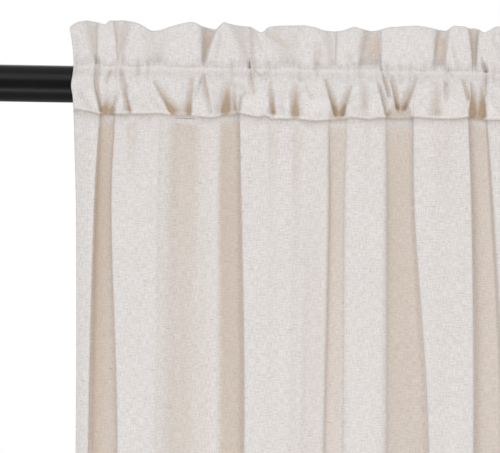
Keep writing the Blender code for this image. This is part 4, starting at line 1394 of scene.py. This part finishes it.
class CURTAIN_OT_stitches(bpy.types.Operator):
    """Sew the heading, the pocket and the hems"""

    bl_idname = "curtain.stitches"
    bl_label = "Sew the stitches"

    def execute(self, context):
        sizes = context.scene.curtain_sizes
        vertices = []
        edges = []
        for line in stitch_lines():
            start = len(vertices)
            vertices.extend((line * MM).tolist())
            edges.extend((i, i + 1) for i in range(start, len(vertices) - 1))
        guide_mesh = bpy.data.meshes.new("stitch_guide")
        guide_mesh.from_pydata(vertices, edges, [])
        guide = bpy.data.objects.new("stitch_guide", guide_mesh)
        context.scene.collection.objects.link(guide)
        tree = stitch_tree(thread_material())
        modifier = guide.modifiers.new("stitches", "NODES")
        modifier.node_group = tree
        values = {"Stitch Length": sizes.stitch_length, "Stitch Pitch": sizes.stitch_pitch,
                  "Thread Thickness": sizes.thread_thickness}
        for socket in tree.interface.items_tree:
            if socket.name in values:
                modifier[socket.identifier] = values[socket.name]
        evaluated = guide.evaluated_get(context.evaluated_depsgraph_get())
        mesh = bpy.data.meshes.new_from_object(evaluated)
        bpy.data.objects.remove(guide, do_unlink=True)
        if not mesh.polygons:
            raise RuntimeError("the stitch lines gave no stitches")
        stitches = bpy.data.objects.new("stitches", mesh)
        context.scene.collection.objects.link(stitches)
        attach(stitches, "root")
        return {"FINISHED"}


class CURTAIN_OT_rod(bpy.types.Operator):
    """Make the round rod, with fine rounded edges at its ends"""

    bl_idname = "curtain.rod"
    bl_label = "Make the rod"

    def execute(self, context):
        bevel = context.scene.curtain_sizes.rod_bevel
        radius = 0.5 * (ROD_HIGH.z - ROD_LOW.z)
        middle = 0.5 * (ROD_HIGH.z + ROD_LOW.z)
        profile = [(0.0, radius - bevel - 0.0012), (0.0, radius - bevel)]
        for step in range(1, ROD_BEVEL_STEPS + 1):
            turn = 0.5 * math.pi * step / ROD_BEVEL_STEPS
            profile.append((bevel * (1.0 - math.cos(turn)), radius - bevel * (1.0 - math.sin(turn))))
        profile.extend([(0.002, radius), (0.02, radius)])
        start = [(ROD_LOW.x + x, r) for x, r in profile]
        end = [(ROD_HIGH.x - x, r) for x, r in reversed(profile)]
        rings = start + [(x, radius) for x in np.linspace(ROD_LOW.x + 0.1, ROD_HIGH.x - 0.1, 5)] + end
        sides = ROD_SIDES
        vertices = []
        for x, r in rings:
            for side in range(sides):
                turn = 2.0 * math.pi * side / sides
                vertices.append((x, r * math.cos(turn), middle + r * math.sin(turn)))
        faces = []
        for ring in range(len(rings) - 1):
            for side in range(sides):
                a = ring * sides + side
                b = ring * sides + (side + 1) % sides
                faces.append((a, a + sides, b + sides, b))
        faces.append(tuple(range(sides)))
        faces.append(tuple(reversed(range((len(rings) - 1) * sides, len(rings) * sides))))
        rod = add_mesh_object("rod_tube", vertices, faces, paint_material())
        mesh = bmesh.new()
        mesh.from_mesh(rod.data)
        bmesh.ops.recalc_face_normals(mesh, faces=mesh.faces)
        mesh.to_mesh(rod.data)
        mesh.free()
        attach(rod, "root")
        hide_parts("rod")
        return {"FINISHED"}


class CURTAIN_OT_stage(bpy.types.Operator):
    """Set the pale floor, the soft studio light and the camera"""

    bl_idname = "curtain.stage"
    bl_label = "Set the stage"

    def execute(self, context):
        scene = context.scene
        add_floor(scene)
        add_lights(scene)
        add_camera(scene)
        scene.view_settings.view_transform = "Standard"
        return {"FINISHED"}


def add_floor(scene):
    """Lay the pale floor well below the curtain."""
    material, _, shader = new_material("studio floor")
    shader.inputs["Base Color"].default_value = tuple(scene.curtain_colours.floor)
    shader.inputs["Roughness"].default_value = 0.8
    half = FLOOR_SIZE / 2
    corners = [(-half, -half, FLOOR_HEIGHT), (half, -half, FLOOR_HEIGHT),
               (half, half, FLOOR_HEIGHT), (-half, half, FLOOR_HEIGHT)]
    add_mesh_object("studio_floor", corners, [(0, 1, 2, 3)], material)


def add_lights(scene):
    """Light the stage with an even white surround and soft lamps before, above and behind."""
    world = bpy.data.worlds.new("white surround")
    world.use_nodes = True
    tree = world.node_tree
    surround = tree.nodes["Background"]
    surround.inputs["Color"].default_value = WHITE
    surround.inputs["Strength"].default_value = SURROUND_STRENGTH
    backdrop = tree.nodes.new("ShaderNodeBackground")
    backdrop.inputs["Color"].default_value = WHITE
    seen = tree.nodes.new("ShaderNodeLightPath")
    mix = tree.nodes.new("ShaderNodeMixShader")
    tree.links.new(seen.outputs["Is Camera Ray"], mix.inputs[0])
    tree.links.new(surround.outputs[0], mix.inputs[1])
    tree.links.new(backdrop.outputs[0], mix.inputs[2])
    tree.links.new(mix.outputs[0], tree.nodes["World Output"].inputs["Surface"])
    scene.world = world
    for name, place, size, energy in SOFTBOXES:
        lamp = bpy.data.lights.new(name, "AREA")
        lamp.shape = "RECTANGLE"
        lamp.size, lamp.size_y = size
        lamp.energy = energy
        softbox = bpy.data.objects.new(name, lamp)
        softbox.location = place
        softbox.visible_camera = False
        aim = Vector(SOFTBOX_AIM) - softbox.location
        softbox.rotation_euler = aim.to_track_quat("-Z", "Y").to_euler()
        scene.collection.objects.link(softbox)


def add_camera(scene):
    """Place the camera as the photograph was taken, square on and turned a little."""
    camera = bpy.data.cameras.new("view")
    camera.sensor_fit = "HORIZONTAL"
    camera.sensor_width = SENSOR_WIDTH
    camera.lens = SENSOR_WIDTH * VIEW_DISTANCE / VIEW_WIDTH
    camera.clip_end = 50.0
    obj = bpy.data.objects.new("view", camera)
    cosine = math.cos(VIEW_ROLL)
    sine = math.sin(VIEW_ROLL)
    turn = Matrix(((cosine, -sine, 0.0), (0.0, 0.0, -1.0), (sine, cosine, 0.0)))
    place = Vector((VIEW_CENTRE[0], -VIEW_DISTANCE, VIEW_CENTRE[1]))
    obj.matrix_world = Matrix.Translation(place) @ turn.to_4x4()
    scene.collection.objects.link(obj)
    scene.camera = obj


class CURTAIN_PT_panel(bpy.types.Panel):
    """Lists the steps that make the curtain"""

    bl_label = "Cafe Curtain"
    bl_idname = "CURTAIN_PT_panel"
    bl_space_type = "VIEW_3D"
    bl_region_type = "UI"
    bl_category = "Curtain"

    def draw(self, context):
        for settings in (context.scene.curtain_sizes, context.scene.curtain_colours):
            for name in settings.__annotations__:
                self.layout.prop(settings, name)
        for operator in OPERATORS:
            self.layout.operator(operator.bl_idname)


OPERATORS = (CURTAIN_OT_cloth, CURTAIN_OT_stitches, CURTAIN_OT_rod, CURTAIN_OT_stage)
CLASSES = (CurtainSizes, CurtainColours, *OPERATORS, CURTAIN_PT_panel)


def register():
    """Register the classes and give the scene its settings."""
    for cls in CLASSES:
        bpy.utils.register_class(cls)
    bpy.types.Scene.curtain_sizes = bpy.props.PointerProperty(type=CurtainSizes)
    bpy.types.Scene.curtain_colours = bpy.props.PointerProperty(type=CurtainColours)


def unregister():
    """Remove the settings and the classes."""
    del bpy.types.Scene.curtain_colours
    del bpy.types.Scene.curtain_sizes
    for cls in reversed(CLASSES):
        bpy.utils.unregister_class(cls)


def main():
    register()
    bpy.ops.curtain.stage()
    bpy.ops.curtain.rod()
    bpy.ops.curtain.cloth()
    bpy.ops.curtain.stitches()


if __name__ == "__main__":
    main()
